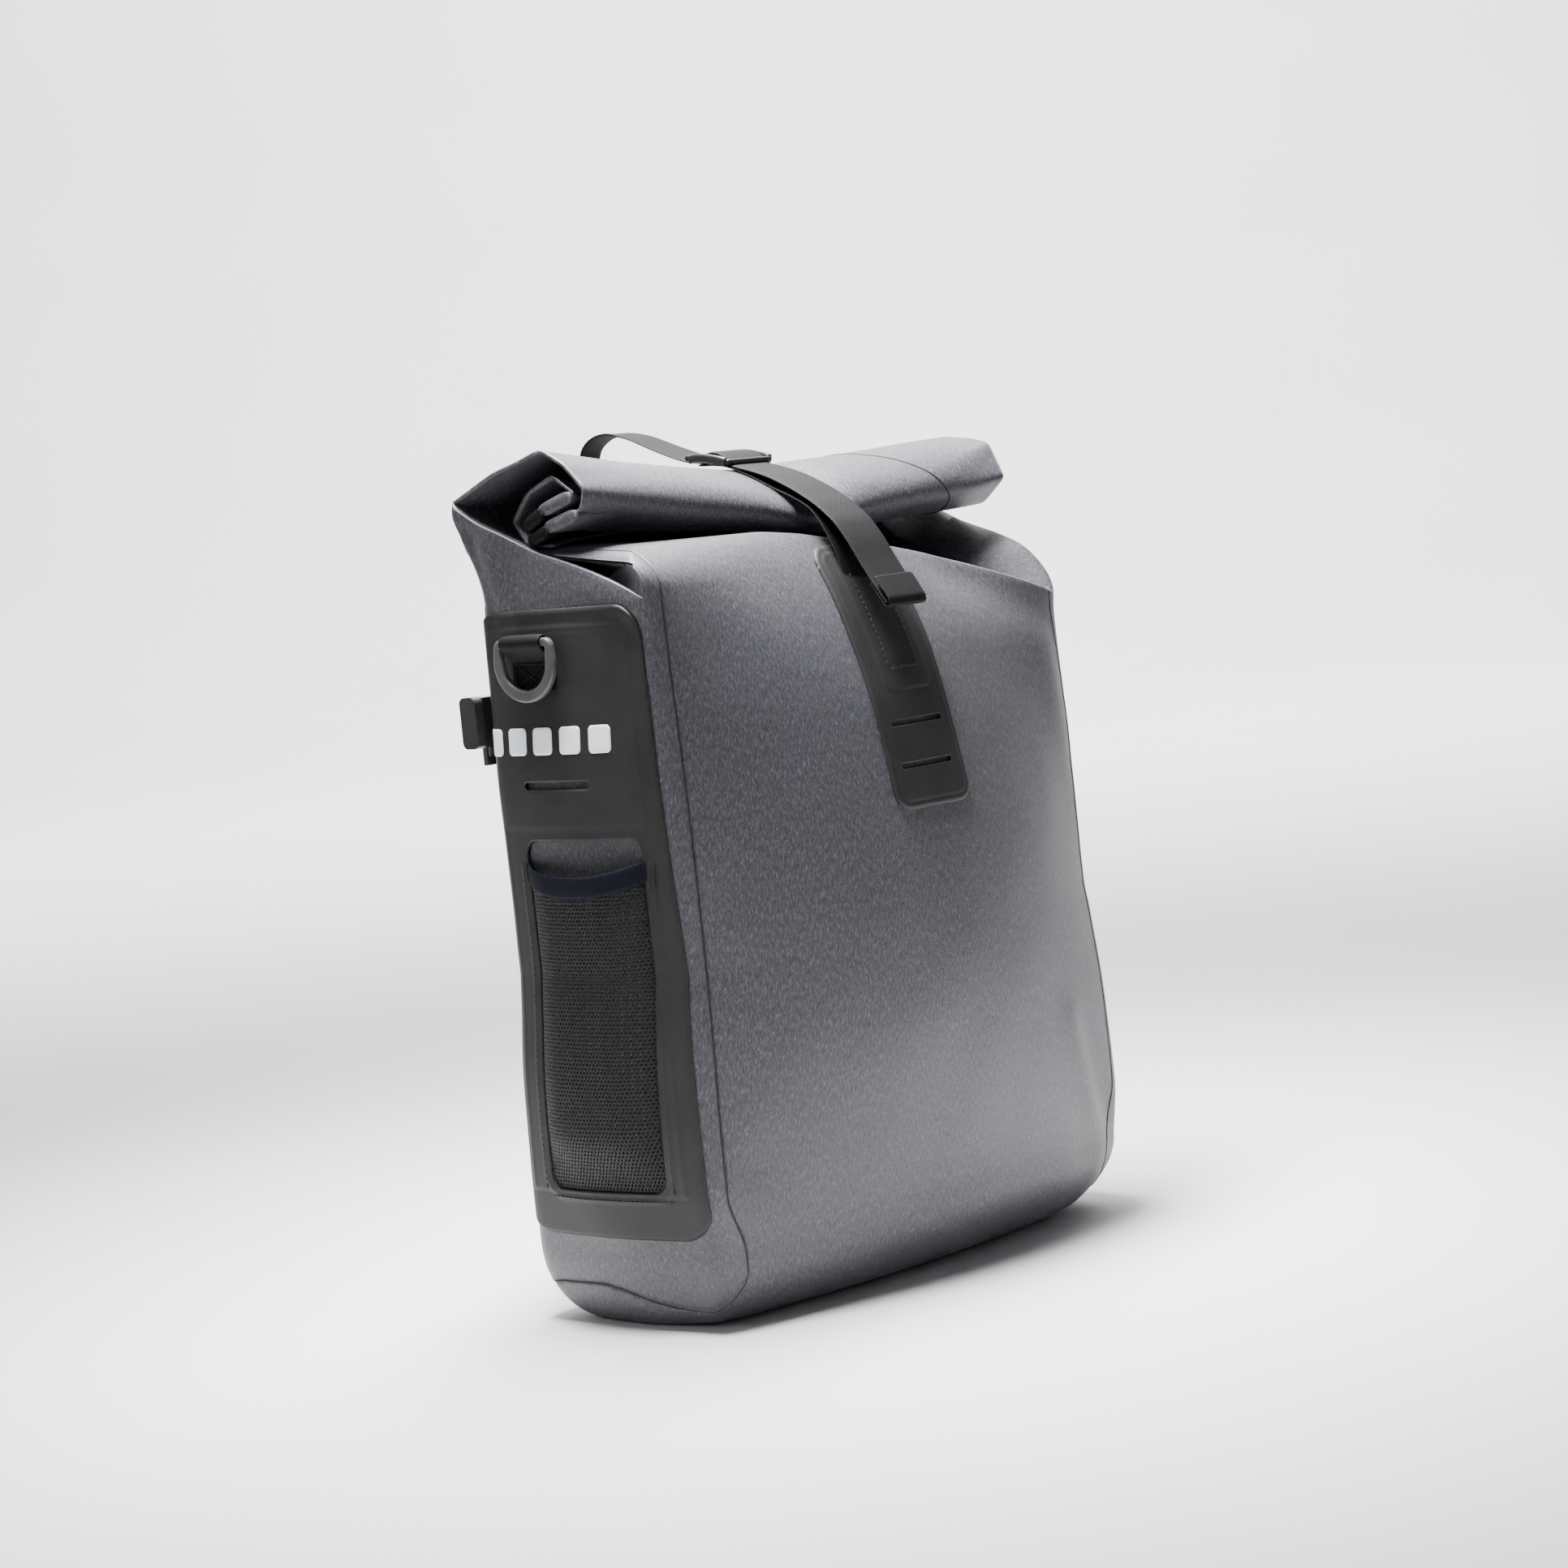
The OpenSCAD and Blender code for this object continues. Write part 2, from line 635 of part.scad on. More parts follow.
// ---------------------------------------------------------------- parts
front_panel();
back_panel();
color("dimgray") gusset_left();  // side_gusset_left
color("dimgray") at_right() gusset_left();  // side_gusset_right
color("dimgray") fold_left();  // gusset_fold_left
color("dimgray") at_right() fold_left();  // gusset_fold_right
base_panel();
back_plate();
roll_outer();
roll_inner();
color("dimgray") hem(-5.2);  // hem_front
color("dimgray") hem(5.2);  // hem_back
color("black") batten(-5.2);  // batten_front
color("black") batten(5.2);  // batten_back
color([0.2, 0.2, 0.2]) side_patch();  // side_patch_left
color([0.2, 0.2, 0.2]) at_right() side_patch();  // side_patch_right
color([0.1, 0.1, 0.1]) mesh_pocket();  // mesh_pocket_left
color([0.1, 0.1, 0.1]) at_right() mesh_pocket();  // mesh_pocket_right
color("midnightblue") pocket_binding();  // pocket_binding_left
color("midnightblue") at_right() pocket_binding();  // pocket_binding_right
color("white") reflectors();  // reflectors_left
color("white") at_right() reflectors();  // reflectors_right
color([0.13, 0.13, 0.13]) ring_loop();  // ring_loop_left
color([0.13, 0.13, 0.13]) at_right() ring_loop();  // ring_loop_right
color([0.33, 0.34, 0.34]) d_ring();  // d_ring_left
color([0.33, 0.34, 0.34]) at_right() d_ring();  // d_ring_right
front_strip();
closure_strap();
strap_tail();
buckle();
carry_strap();
strap_anchor();
mounting_rail();
rail_cap();  // rail_cap_left
at_right() rail_cap();  // rail_cap_right
rail_screws();
rail_nuts();
hook(-hook_x);  // hook_left
hook(hook_x);  // hook_right
hook_liner(-hook_x);  // hook_liner_left
hook_liner(hook_x);  // hook_liner_right
latch(-hook_x);  // latch_left
latch(hook_x);  // latch_right
latch_pin(-hook_x);  // latch_pin_left
latch_pin(hook_x);  // latch_pin_right
latch_spring(-hook_x);  // latch_spring_left
latch_spring(hook_x);  // latch_spring_right
lower_rail();
lower_rail_screws();
lower_rail_nuts();
lower_slider();
lower_hook();
lower_hook_washer();
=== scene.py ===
import math

import bmesh
import bpy
import numpy as np
from mathutils import Matrix, Vector, noise


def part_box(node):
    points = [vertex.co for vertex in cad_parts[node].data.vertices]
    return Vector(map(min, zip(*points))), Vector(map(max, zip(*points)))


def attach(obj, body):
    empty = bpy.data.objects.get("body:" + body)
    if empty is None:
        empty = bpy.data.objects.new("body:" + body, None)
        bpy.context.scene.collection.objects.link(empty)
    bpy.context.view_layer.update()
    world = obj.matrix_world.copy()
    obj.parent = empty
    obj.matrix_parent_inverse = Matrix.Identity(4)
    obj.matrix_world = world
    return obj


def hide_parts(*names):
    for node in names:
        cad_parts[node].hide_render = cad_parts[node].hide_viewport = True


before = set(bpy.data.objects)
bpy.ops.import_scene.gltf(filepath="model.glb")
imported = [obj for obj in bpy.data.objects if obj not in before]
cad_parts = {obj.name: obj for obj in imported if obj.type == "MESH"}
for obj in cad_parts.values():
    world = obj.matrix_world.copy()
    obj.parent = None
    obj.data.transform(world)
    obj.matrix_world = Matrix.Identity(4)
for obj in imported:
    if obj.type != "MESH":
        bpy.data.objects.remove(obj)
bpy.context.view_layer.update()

# All shapes below are worked out in millimetres in the shared frame, and scaled once, in mesh().
MM = 0.001


def box_mm(node):
    low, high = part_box(node)
    return np.array(low) / MM, np.array(high) / MM


front_low, front_high = box_mm("front_panel")
back_high = box_mm("back_panel")[1]
strip_low, strip_high = box_mm("front_strip")

SIDES = (("left", -1), ("right", 1))
CORNER_INSET = 6.0             # the section's corners lie inside the CAD box, which holds the bulges
SEAM_X = front_high[0] - CORNER_INSET
BACK_SEAM_X = back_high[0] - CORNER_INSET
BACK_Y = back_high[1]
BACK_SEAM_Y = BACK_Y - 7.0
BELLY_Y = -front_low[1]        # depths of the front: at its belly, seams, upper crest and foot
SEAM_Y = BELLY_Y - 39.0
CREST_Y = 22.0
FOOT_Y = 30.0
BELLY_Z = 135.0
SHOULDER_Z = 290.0
ROOF_Z = front_high[2]
FLOOR_Z = 0.15                 # the cloth's underside, just clear of the floor
CLOTH_T = 1.3
WEBBING_W = 25.0


# ------------------------------------------------------------------ small helpers
def clamp01(t):
    return np.clip(t, 0.0, 1.0)


def ease(t):
    c = clamp01(t)
    return c * c * (3.0 - 2.0 * c)


def bump(x, middle, width):
    return np.exp(-((x - middle) / width) ** 2)


def blur(values, sigma, closed=False):
    """Gaussian blur along axis 0, in samples. Open ends keep their place."""
    reach = int(math.ceil(3 * sigma))
    if reach < 1:
        return values
    k = np.exp(-0.5 * (np.arange(-reach, reach + 1) / sigma) ** 2)
    k /= k.sum()
    if closed:
        padded = np.concatenate([values[-reach:], values, values[:reach]])
    else:
        first = 2 * values[:1] - values[reach:0:-1]
        last = 2 * values[-1:] - values[-2:-reach - 2:-1]
        padded = np.concatenate([first, values, last])
    out = np.zeros_like(values)
    for i, w in enumerate(k):
        out += w * padded[i:i + len(values)]
    return out


def unit(v):
    return v / np.maximum(np.linalg.norm(v, axis=-1, keepdims=True), 1e-9)


def running(points):
    """Length from the start to each point, along the first axis."""
    step = np.linalg.norm(np.diff(points, axis=0), axis=-1)
    return np.concatenate([np.zeros_like(step[:1]), np.cumsum(step, axis=0)])


def read(x, stops, columns):
    """Several values read at x, from one list of values for each."""
    return np.stack([np.interp(x, stops, c) for c in columns], 1)


def resample(points, n):
    """n points evenly spaced along a polyline."""
    points = np.asarray(points, float)
    run = running(points)
    return read(np.linspace(0.0, run[-1], n), run, points.T)


def smooth_line(points, n, sigma_mm):
    """The polyline resampled to n points with its corners rounded."""
    line = resample(points, n)
    return blur(line, sigma_mm * (n - 1) / running(line)[-1])


def mesh(name, verts, faces, material, body="bag", uv=None):
    me = bpy.data.meshes.new(name)
    me.from_pydata([tuple(v) for v in np.asarray(verts, float) * MM], [], [tuple(f) for f in faces])
    me.polygons.foreach_set("use_smooth", [True] * len(me.polygons))
    if uv is not None:
        layer = me.uv_layers.new(name="cloth")
        flat = np.asarray(uv, float)[[l.vertex_index for l in me.loops]] * MM
        layer.data.foreach_set("uv", flat.ravel())
    me.update()
    ob = bpy.data.objects.new(name, me)
    bpy.context.scene.collection.objects.link(ob)
    ob.data.materials.append(material)
    if body:
        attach(ob, body)
    return ob


def grid_faces(rows, cols, ring=False, loop=False):
    """Quads of a grid; ring joins its last column to the first, loop its last row to the first."""
    faces = []
    for i in range(rows if loop else rows - 1):
        low, high = i * cols, (i + 1) % rows * cols
        for j in range(cols if ring else cols - 1):
            k = (j + 1) % cols
            faces.append((low + j, low + k, high + k, high + j))
    return faces


def rod_faces(rows, cols):
    """Quads round a rod of rings, and a face over each of its ends."""
    start, end = range(cols), range((rows - 1) * cols, rows * cols)
    return grid_faces(rows, cols, ring=True) + [tuple(start)[::-1], tuple(end)]


def squircle(angle, power):
    """Cosine and sine of an angle, squared off by powers below 1."""
    c, s = math.cos(angle), math.sin(angle)
    return math.copysign(abs(c) ** power[0], c), math.copysign(abs(s) ** power[1], s)


def cloth_uv(points):
    """Lengths across and along a grid of points, so that the weave isn't stretched."""
    rows, cols = points.shape[:2]
    across = running(points[rows // 2])
    return np.stack([np.broadcast_to(across, (rows, cols)), running(points)], 2).reshape(-1, 2)


def add_thickness(ob, t, offset=-1.0):
    mod = ob.modifiers.new("thickness", "SOLIDIFY")
    mod.thickness = t * MM
    mod.offset = offset
    mod.use_quality_normals = True
    mod.use_even_offset = False
    return ob


def surface(name, points, material):
    """A sheet of cloth through a grid of points."""
    faces = grid_faces(*points.shape[:2])
    return add_thickness(mesh(name, points.reshape(-1, 3), faces, material, uv=cloth_uv(points)), CLOTH_T)


def tube(path, radius, sides):
    """A round thread along a path."""
    path = np.asarray(path, float)
    tangent = unit(np.gradient(path, axis=0))
    up = np.array([0.0, 0.0, 1.0]) if abs(tangent[0][2]) < 0.9 else np.array([1.0, 0.0, 0.0])
    angle = np.linspace(0, 2 * math.pi, sides, endpoint=False)[:, None]
    rings = []
    for point, ahead in zip(path, tangent):
        side = unit(np.cross(ahead, up))
        up = np.cross(side, ahead)
        rings.append(point + radius * (np.cos(angle) * side + np.sin(angle) * up))
    return np.concatenate(rings), rod_faces(len(path), sides)


def join(parts):
    verts, faces, base = [], [], 0
    for v, f in parts:
        verts.append(np.asarray(v, float))
        faces += [tuple(i + base for i in face) for face in f]
        base += len(v)
    return np.concatenate(verts), faces


# ------------------------------------------------------------------ materials
class Nodes:
    """A short way to write a material's node tree."""

    def __init__(self, name, roughness, specular=0.5):
        self.mat = bpy.data.materials.new(name)
        self.mat.use_nodes = True
        self.tree = self.mat.node_tree
        self.shader = self.tree.nodes["Principled BSDF"]
        self.shader.inputs["Roughness"].default_value = roughness
        self.shader.inputs["Specular IOR Level"].default_value = specular
        self.coords = self.tree.nodes.new("ShaderNodeTexCoord").outputs["Object"]

    def link(self, a, b):
        self.tree.links.new(a, b)

    def add(self, kind, source, socket, **values):
        """A node fed by source, with numbers in its other sockets; their names have _ for a space."""
        node = self.tree.nodes.new("ShaderNode" + kind)
        for name, value in values.items():
            node.inputs[name.replace("_", " ")].default_value = value
        self.link(source, node.inputs[socket])
        return node

    def cloth_coords(self):
        node = self.tree.nodes.new("ShaderNodeUVMap")
        node.uv_map = "cloth"
        return node.outputs["UV"]

    def mapped(self, source, scale):
        return self.add("Mapping", source, "Vector", Scale=scale).outputs["Vector"]

    def noise(self, source, scale=1.0, detail=3.0, rough=0.5):
        node = self.add("TexNoise", source, "Vector", Scale=scale, Detail=detail, Roughness=rough)
        return node.outputs["Fac"]

    def wave(self, source, scale, direction, distortion, detail, detail_scale):
        node = self.add("TexWave", source, "Vector", Scale=scale, Distortion=distortion, Detail=detail,
                        Detail_Scale=detail_scale)
        node.bands_direction = direction
        return node.outputs["Fac"]

    def feed(self, sockets, values):
        """A number, a colour or another node's output into each socket."""
        for socket, value in zip(sockets, values):
            if isinstance(value, bpy.types.NodeSocket):
                self.link(value, socket)
            else:
                socket.default_value = (*value, 1.0) if isinstance(value, tuple) else value

    def math(self, kind, a, b):
        node = self.tree.nodes.new("ShaderNodeMath")
        node.operation = kind
        self.feed(node.inputs, (a, b))
        return node.outputs[0]

    def ramp(self, source, stops):
        node = self.tree.nodes.new("ShaderNodeValToRGB")
        elements = node.color_ramp.elements
        while len(elements) < len(stops):
            elements.new(0.5)
        for element, (place, colour) in zip(elements, stops):
            element.position = place
            element.color = (*colour, 1.0)
        self.link(source, node.inputs["Fac"])
        return node.outputs["Color"]

    def mix(self, fac, a, b, kind="MIX"):
        node = self.tree.nodes.new("ShaderNodeMix")
        node.data_type = "RGBA"
        node.blend_type = kind
        self.feed([node.inputs[name] for name in ("Factor", "A", "B")], (fac, a, b))
        return node.outputs["Result"]

    def colour(self, socket):
        self.link(socket, self.shader.inputs["Base Color"])

    def rough_from(self, source, low, high):
        node = self.add("MapRange", source, "Value", To_Min=low, To_Max=high)
        self.link(node.outputs["Result"], self.shader.inputs["Roughness"])

    def bumps(self, *layers):
        """Each layer is (height socket, strength, distance in metres)."""
        normal = None
        for height, strength, distance in layers:
            node = self.add("Bump", height, "Height", Strength=strength, Distance=distance)
            if normal is not None:
                self.link(normal, node.inputs["Normal"])
            normal = node.outputs["Normal"]
        self.link(normal, self.shader.inputs["Normal"])


def coated_fabric():
    m = Nodes("coated_fabric", 0.45, 0.55)
    uv = m.cloth_coords()
    warp = m.noise(m.mapped(uv, (1700.0, 420.0, 1.0)), 1.0, 3.0, 0.62)
    weft = m.noise(m.mapped(uv, (520.0, 1700.0, 1.0)), 1.0, 2.0, 0.6)
    fleck = m.noise(m.mapped(uv, (1250.0, 240.0, 1.0)), 1.0, 4.0, 0.7)
    cloud = m.noise(m.coords, 9.0, 3.0, 0.5)
    threads = m.math("ADD", m.math("MULTIPLY", warp, 0.55), m.math("MULTIPLY", weft, 0.45))
    melange = m.math("ADD", m.math("MULTIPLY", threads, 0.6), m.math("MULTIPLY", fleck, 0.4))
    base = m.ramp(melange, [(0.38, (0.013, 0.013, 0.018)), (0.47, (0.033, 0.033, 0.041)),
                            (0.54, (0.062, 0.062, 0.073)), (0.65, (0.160, 0.161, 0.178))])
    m.colour(m.mix(0.22, base, m.ramp(cloud, [(0.3, (0.42, 0.42, 0.44)), (0.7, (0.62, 0.62, 0.63))]),
                   "OVERLAY"))
    m.shader.inputs["Sheen Weight"].default_value = 0.12
    m.shader.inputs["Sheen Roughness"].default_value = 0.45
    m.rough_from(threads, 0.38, 0.52)
    weave_x = m.wave(uv, 520.0, "X", 1.6, 1.0, 2.0)
    weave_y = m.wave(uv, 520.0, "Y", 1.6, 1.0, 2.0)
    m.bumps((m.math("MULTIPLY", weave_x, weave_y), 0.30, 0.0002), (threads, 0.5, 0.0003),
            (m.noise(m.coords, 45.0, 3.0), 0.12, 0.002))
    return m.mat


def rubber(name="rubber_patch", tone=0.0155, rough=0.52):
    m = Nodes(name, rough, 0.3)
    grain = m.noise(m.coords, 2600.0, 2.0, 0.5)
    smear = m.noise(m.coords, 28.0, 4.0, 0.6)
    dark = tuple(tone * k for k in (0.82, 0.82, 0.83))
    light = tuple(tone * k for k in (1.32, 1.31, 1.31))
    m.colour(m.mix(m.math("MULTIPLY", grain, 0.35), m.ramp(smear, [(0.32, dark), (0.72, light)]),
                   (tone * 1.5,) * 3))
    m.rough_from(smear, rough - 0.07, rough + 0.10)
    m.bumps((grain, 0.22, 0.0002), (smear, 0.10, 0.002))
    return m.mat


def plastic(name, tone, rough, tint=(1.0, 1.0, 1.02)):
    m = Nodes(name, rough, 0.5)
    grain = m.noise(m.coords, 1500.0, 2.0, 0.5)
    wear = m.noise(m.coords, 60.0, 4.0, 0.6)
    low = tuple(tone * 0.8 * k for k in tint)
    high = tuple(tone * 1.25 * k for k in tint)
    m.colour(m.ramp(wear, [(0.3, low), (0.7, high)]))
    m.rough_from(wear, rough - 0.08, rough + 0.08)
    m.bumps((grain, 0.18, 0.00015))
    return m.mat


def metal(name, tone, rough, grain_axis=(40.0, 900.0, 900.0)):
    m = Nodes(name, rough, 0.5)
    m.shader.inputs["Metallic"].default_value = 1.0
    brush = m.noise(m.mapped(m.coords, grain_axis), 1.0, 3.0, 0.6)
    m.colour(m.ramp(brush, [(0.3, tuple(0.85 * t for t in tone)), (0.7, tuple(1.12 * t for t in tone))]))
    m.rough_from(brush, rough - 0.06, rough + 0.10)
    m.bumps((brush, 0.12, 0.0001))
    return m.mat


def webbing_material():
    m = Nodes("webbing", 0.68, 0.14)
    uv = m.cloth_coords()
    fibre = m.noise(m.mapped(uv, (900.0, 2600.0, 1.0)), 1.0, 3.0, 0.6)
    rows = m.wave(uv, 400.0, "Y", 0.6, 1.0, 2.0)
    weave = m.math("MULTIPLY", m.math("ADD", fibre, rows), 0.5)
    m.colour(m.ramp(weave, [(0.2, (0.002, 0.002, 0.002)), (0.5, (0.005, 0.005, 0.0055)),
                            (0.85, (0.016, 0.016, 0.017))]))
    m.rough_from(fibre, 0.5, 0.75)
    m.bumps((fibre, 0.4, 0.0003))
    return m.mat


def elastic():
    m = Nodes("elastic_binding", 0.7, 0.12)
    uv = m.cloth_coords()
    rib = m.wave(uv, 260.0, "X", 1.5, 2.0, 2.0)
    m.colour(m.ramp(rib, [(0.2, (0.002, 0.0025, 0.006)), (0.8, (0.006, 0.007, 0.016))]))
    m.bumps((rib, 0.3, 0.0003))
    return m.mat


def net():
    m = Nodes("mesh", 0.6, 0.25)
    fibre = m.noise(m.coords, 1800.0, 2.0)
    m.colour(m.ramp(fibre, [(0.3, (0.004, 0.004, 0.0045)), (0.7, (0.012, 0.012, 0.013))]))
    m.bumps((fibre, 0.3, 0.0002))
    return m.mat


def reflective():
    m = Nodes("reflective_film", 0.32, 0.6)
    beads = m.add("TexVoronoi", m.coords, "Vector", Scale=2200.0).outputs["Distance"]
    m.colour(m.ramp(beads, [(0.0, (0.93, 0.94, 0.96)), (0.8, (0.74, 0.76, 0.80))]))
    m.bumps((beads, 0.15, 0.0001))
    # Painted glow: the emission makes the film shine a little by itself, standing in for the light it sends
    # back.
    m.shader.inputs["Emission Color"].default_value = (0.9, 0.93, 1.0, 1.0)
    m.shader.inputs["Emission Strength"].default_value = 0.25
    return m.mat


def floor_material():
    m = Nodes("floor", 0.8, 0.2)
    soft = m.noise(m.coords, 3.0, 2.0)
    m.colour(m.ramp(soft, [(0.3, (0.80, 0.80, 0.80)), (0.7, (0.83, 0.83, 0.83))]))
    return m.mat


FABRIC = coated_fabric()
RUBBER = rubber()
WEBBING = webbing_material()
ELASTIC = elastic()
NET = net()
FILM = reflective()
RING = plastic("ring_nylon", 0.075, 0.36, (0.97, 1.0, 0.99))
BUCKLE = plastic("buckle_nylon", 0.016, 0.34)
THREAD = plastic("thread", 0.007, 0.7)
PLATE = plastic("stiffener", 0.02, 0.6)
HOOK = plastic("hook_nylon", 0.018, 0.42)
LATCH = plastic("latch_nylon", 0.035, 0.38)
LINER = rubber("liner_rubber", 0.05, 0.6)
RAIL = metal("rail_aluminium", (0.11, 0.11, 0.115), 0.34)
STEEL = metal("steel", (0.56, 0.56, 0.57), 0.28, (600.0, 600.0, 600.0))


# ------------------------------------------------------------------ the bag's section
def flare(z):
    """The walls stand out most near the foot."""
    return 6.0 * np.maximum(0.0, 1.0 - ((z - 45.0) / 110.0) ** 2)


def corner_x(z):
    """Half the width of the front between its corners."""
    return SEAM_X + flare(z)


def corner_y(z, side):
    """Depth of the front corners, for a side from -1, the left one, to 1, the right one."""
    left = 20.0 * clamp01((z - 320.0) / 19.0) ** 2.2
    right = 22.0 * clamp01((z - SHOULDER_Z) / (ROOF_Z - SHOULDER_Z)) ** 2.5
    mix = ease(0.5 + 0.9 * side)
    return SEAM_Y + 0.8 * flare(z) + (2.0 - left) * (1 - mix) - right * mix


def crown_y(z):
    """Depth of the front at its middle line: deepest at the belly, drawn in above and below it."""
    above = 1.0 - clamp01((z - BELLY_Z) / (ROOF_Z + 2.0 - BELLY_Z)) ** 2
    below = 1.0 - clamp01((BELLY_Z - z) / 160.0) ** 2
    return np.where(z > BELLY_Z, CREST_Y + (BELLY_Y - CREST_Y) * above ** 0.62,
                    FOOT_Y + (BELLY_Y - FOOT_Y) * np.sqrt(below))


def front_y(u, z):
    """Depth of the front at u, from -1 at its left corner to 1."""
    corner = corner_y(z, u)
    return corner + (crown_y(z) - corner) * (1.0 - np.abs(u) ** 2.2)


def side_x(y, z):
    """Half the width of the bag at a point of its side, which bulges between its corners."""
    fill = np.minimum(1.0, 1.25 * np.sin(math.pi * clamp01((z + 10.0) / 340.0)))
    return (corner_x(z) + 3.0 * clamp01((y + SEAM_Y) / (SEAM_Y + BACK_SEAM_Y))
            + 7.0 * fill * (1.0 - (y / 50.0) ** 2))


def back_face(u, z):
    """The back, flat below and leaning forward under the roll, at u from the middle, 0, to a corner."""
    lean = ease((z - 322.0) / 31.0)
    return BACK_Y - 7.0 * np.abs(u) ** 10 - 23.0 * lean * (1.0 - np.abs(u) ** 4)


# Columns of the section, walked from the middle of the back round the left side.
N_BACK, N_SIDE, N_FRONT = 70, 60, 160
LEFT_BACK = N_BACK
LEFT_FRONT = N_BACK + N_SIDE
RIGHT_FRONT = LEFT_FRONT + N_FRONT
RIGHT_BACK = RIGHT_FRONT + N_SIDE
N_RING = 2 * N_BACK + 2 * N_SIDE + N_FRONT
WRAP = 5                       # columns by which each gusset reaches round its front corner


def soft_noise(p, size, seed):
    """Smooth, repeatable noise at points p, for sags that are size mm across."""
    flat = p.reshape(-1, 3) / size
    shift = Vector((seed * 7.3, seed * 3.1, seed * 5.7))
    out = np.array([noise.noise(Vector(q) + shift) for q in flat])
    return out.reshape(p.shape[:-1])


# Soft folds in the shell: start, end, width and height in mm.
BOTH_SIDES = [
    ((-147, 57, 358), (-144, 45, 296), 3.6, 2.2),
    ((-147, 49, 350), (-143, 38, 292), 3.4, -2.6),
    ((-146, 40, 343), (-143, 31, 296), 4.0, 2.0),
    ((-60, 57, 330), (-20, 57, 290), 12, -1.2),
]
FOLDS = BOTH_SIDES + [((-a[0], *a[1:]), (-b[0], *b[1:]), width, height)
                      for a, b, width, height in BOTH_SIDES] + [
    ((-100, -70, 330), (-30, -80, 262), 13, 1.8),
    ((-128, -50, 330), (-112, -62, 250), 9, 1.2),
    ((-60, -60, 325), (-42, -86, 250), 12, -1.0),
    ((60, -55, 312), (128, -52, 286), 9, -2.2),
    ((36, -74, 296), (118, -58, 268), 16, 1.8),
    ((140, -46, 286), (139, -50, 220), 9, -1.6),
    ((120, -62, 270), (134, -56, 190), 10, 1.4),
    ((-145, 31, 336), (-142, 22, 298), 5.0, -1.5),
    ((-141, -46, 313), (-146, -2, 329), 4.5, 2.2),
    ((-141, -40, 300), (-146, 6, 312), 7.0, -1.3),
    ((-138, -60, 60), (-70, -82, 22), 12, 1.6),
    ((-120, -74, 70), (-96, -76, 24), 9, -1.4),
    ((96, -84, 96), (122, -60, 26), 7, 2.2),
    ((110, -80, 88), (138, -54, 34), 7, -2.4),
    ((-142, 10, 60), (-140, -30, 20), 10, 1.2),
]


def fold_height(p):
    """All the folds added up at points p; each is highest at its start."""
    total = np.zeros(p.shape[:-1])
    for a, b, width, height in FOLDS:
        a, b = np.array(a, float), np.array(b, float)
        ab = b - a
        t = ((p - a) @ ab) / (ab @ ab)
        near = np.linalg.norm(p - (a + clamp01(t)[..., None] * ab), axis=-1)
        total += height * np.exp(-0.5 * (near / width) ** 2) * (0.35 + 0.65 * (1 - clamp01(t)))
    return total


EAR_OUT, EAR_BACK = 6.5, 7.0   # how far the upper back corners are drawn out
EAR_SPREAD = 13.0              # columns
RIGHT_FULLER = 5.0             # the right front corner stands this much wider than the left one
CORNER_BLUR = 2.6              # columns


def section(z):
    """Outer surface at every column of the ring, with a row for each height z."""
    z = np.repeat(z[:, None], N_RING, 1)
    p = np.zeros((len(z), N_RING, 3))
    back = np.arange(N_BACK) / N_BACK
    side = np.arange(N_SIDE) / N_SIDE
    front = -1.0 + 2.0 * np.arange(N_FRONT) / N_FRONT
    for start, sign, u in ((0, -1, back), (RIGHT_BACK, 1, 1.0 - back)):
        s = slice(start, start + N_BACK)
        p[:, s, 0] = sign * u * (BACK_SEAM_X + flare(z[:, s]))
        p[:, s, 1] = back_face(u, z[:, s])
    for start, sign, u in ((LEFT_BACK, -1, side), (RIGHT_FRONT, 1, 1.0 - side)):
        s = slice(start, start + N_SIDE)
        y = BACK_SEAM_Y + (-corner_y(z[:, s], sign) - BACK_SEAM_Y) * u
        p[:, s, 0] = sign * side_x(y, z[:, s])
        p[:, s, 1] = y
    s = slice(LEFT_FRONT, RIGHT_FRONT)
    p[:, s, 0] = front * corner_x(z[:, s])
    p[:, s, 1] = -front_y(front, z[:, s])
    p[..., 2] = z
    # The two upper back corners are drawn out into ears.
    for col, sign in ((LEFT_BACK, -1), (RIGHT_BACK, 1)):
        away = np.abs(np.arange(N_RING) - col)
        pull = ease((z - 318.0) / 46.0) * np.exp(-0.5 * (away / EAR_SPREAD) ** 2)
        p[..., 0] += sign * EAR_OUT * pull
        p[..., 1] += EAR_BACK * pull
    fuller = ease((-p[..., 1] - 6.0) / 42.0) * ease((p[..., 0] - 50.0) / 90.0)
    p[..., 0] += RIGHT_FULLER * fuller * ease((z - 20.0) / 40.0)
    xy = blur(np.swapaxes(p[..., :2], 0, 1), CORNER_BLUR, closed=True)
    p[..., :2] = np.swapaxes(xy, 0, 1)
    # Sags and folds push the cloth in and out along the section's own normal.
    t = np.roll(p, -1, 1) - np.roll(p, 1, 1)
    normal = unit(np.stack([t[..., 1], -t[..., 0], np.zeros_like(z)], 2))
    sag = 1.5 * soft_noise(p, 95.0, 1) + 0.7 * soft_noise(p, 38.0, 2) - 0.6
    quiet = np.where(p[..., 1] > 52.0, 0.25, 1.0) * ease((z - 2.0) / 40.0)
    return p + normal * (sag * quiet + fold_height(p))[..., None]


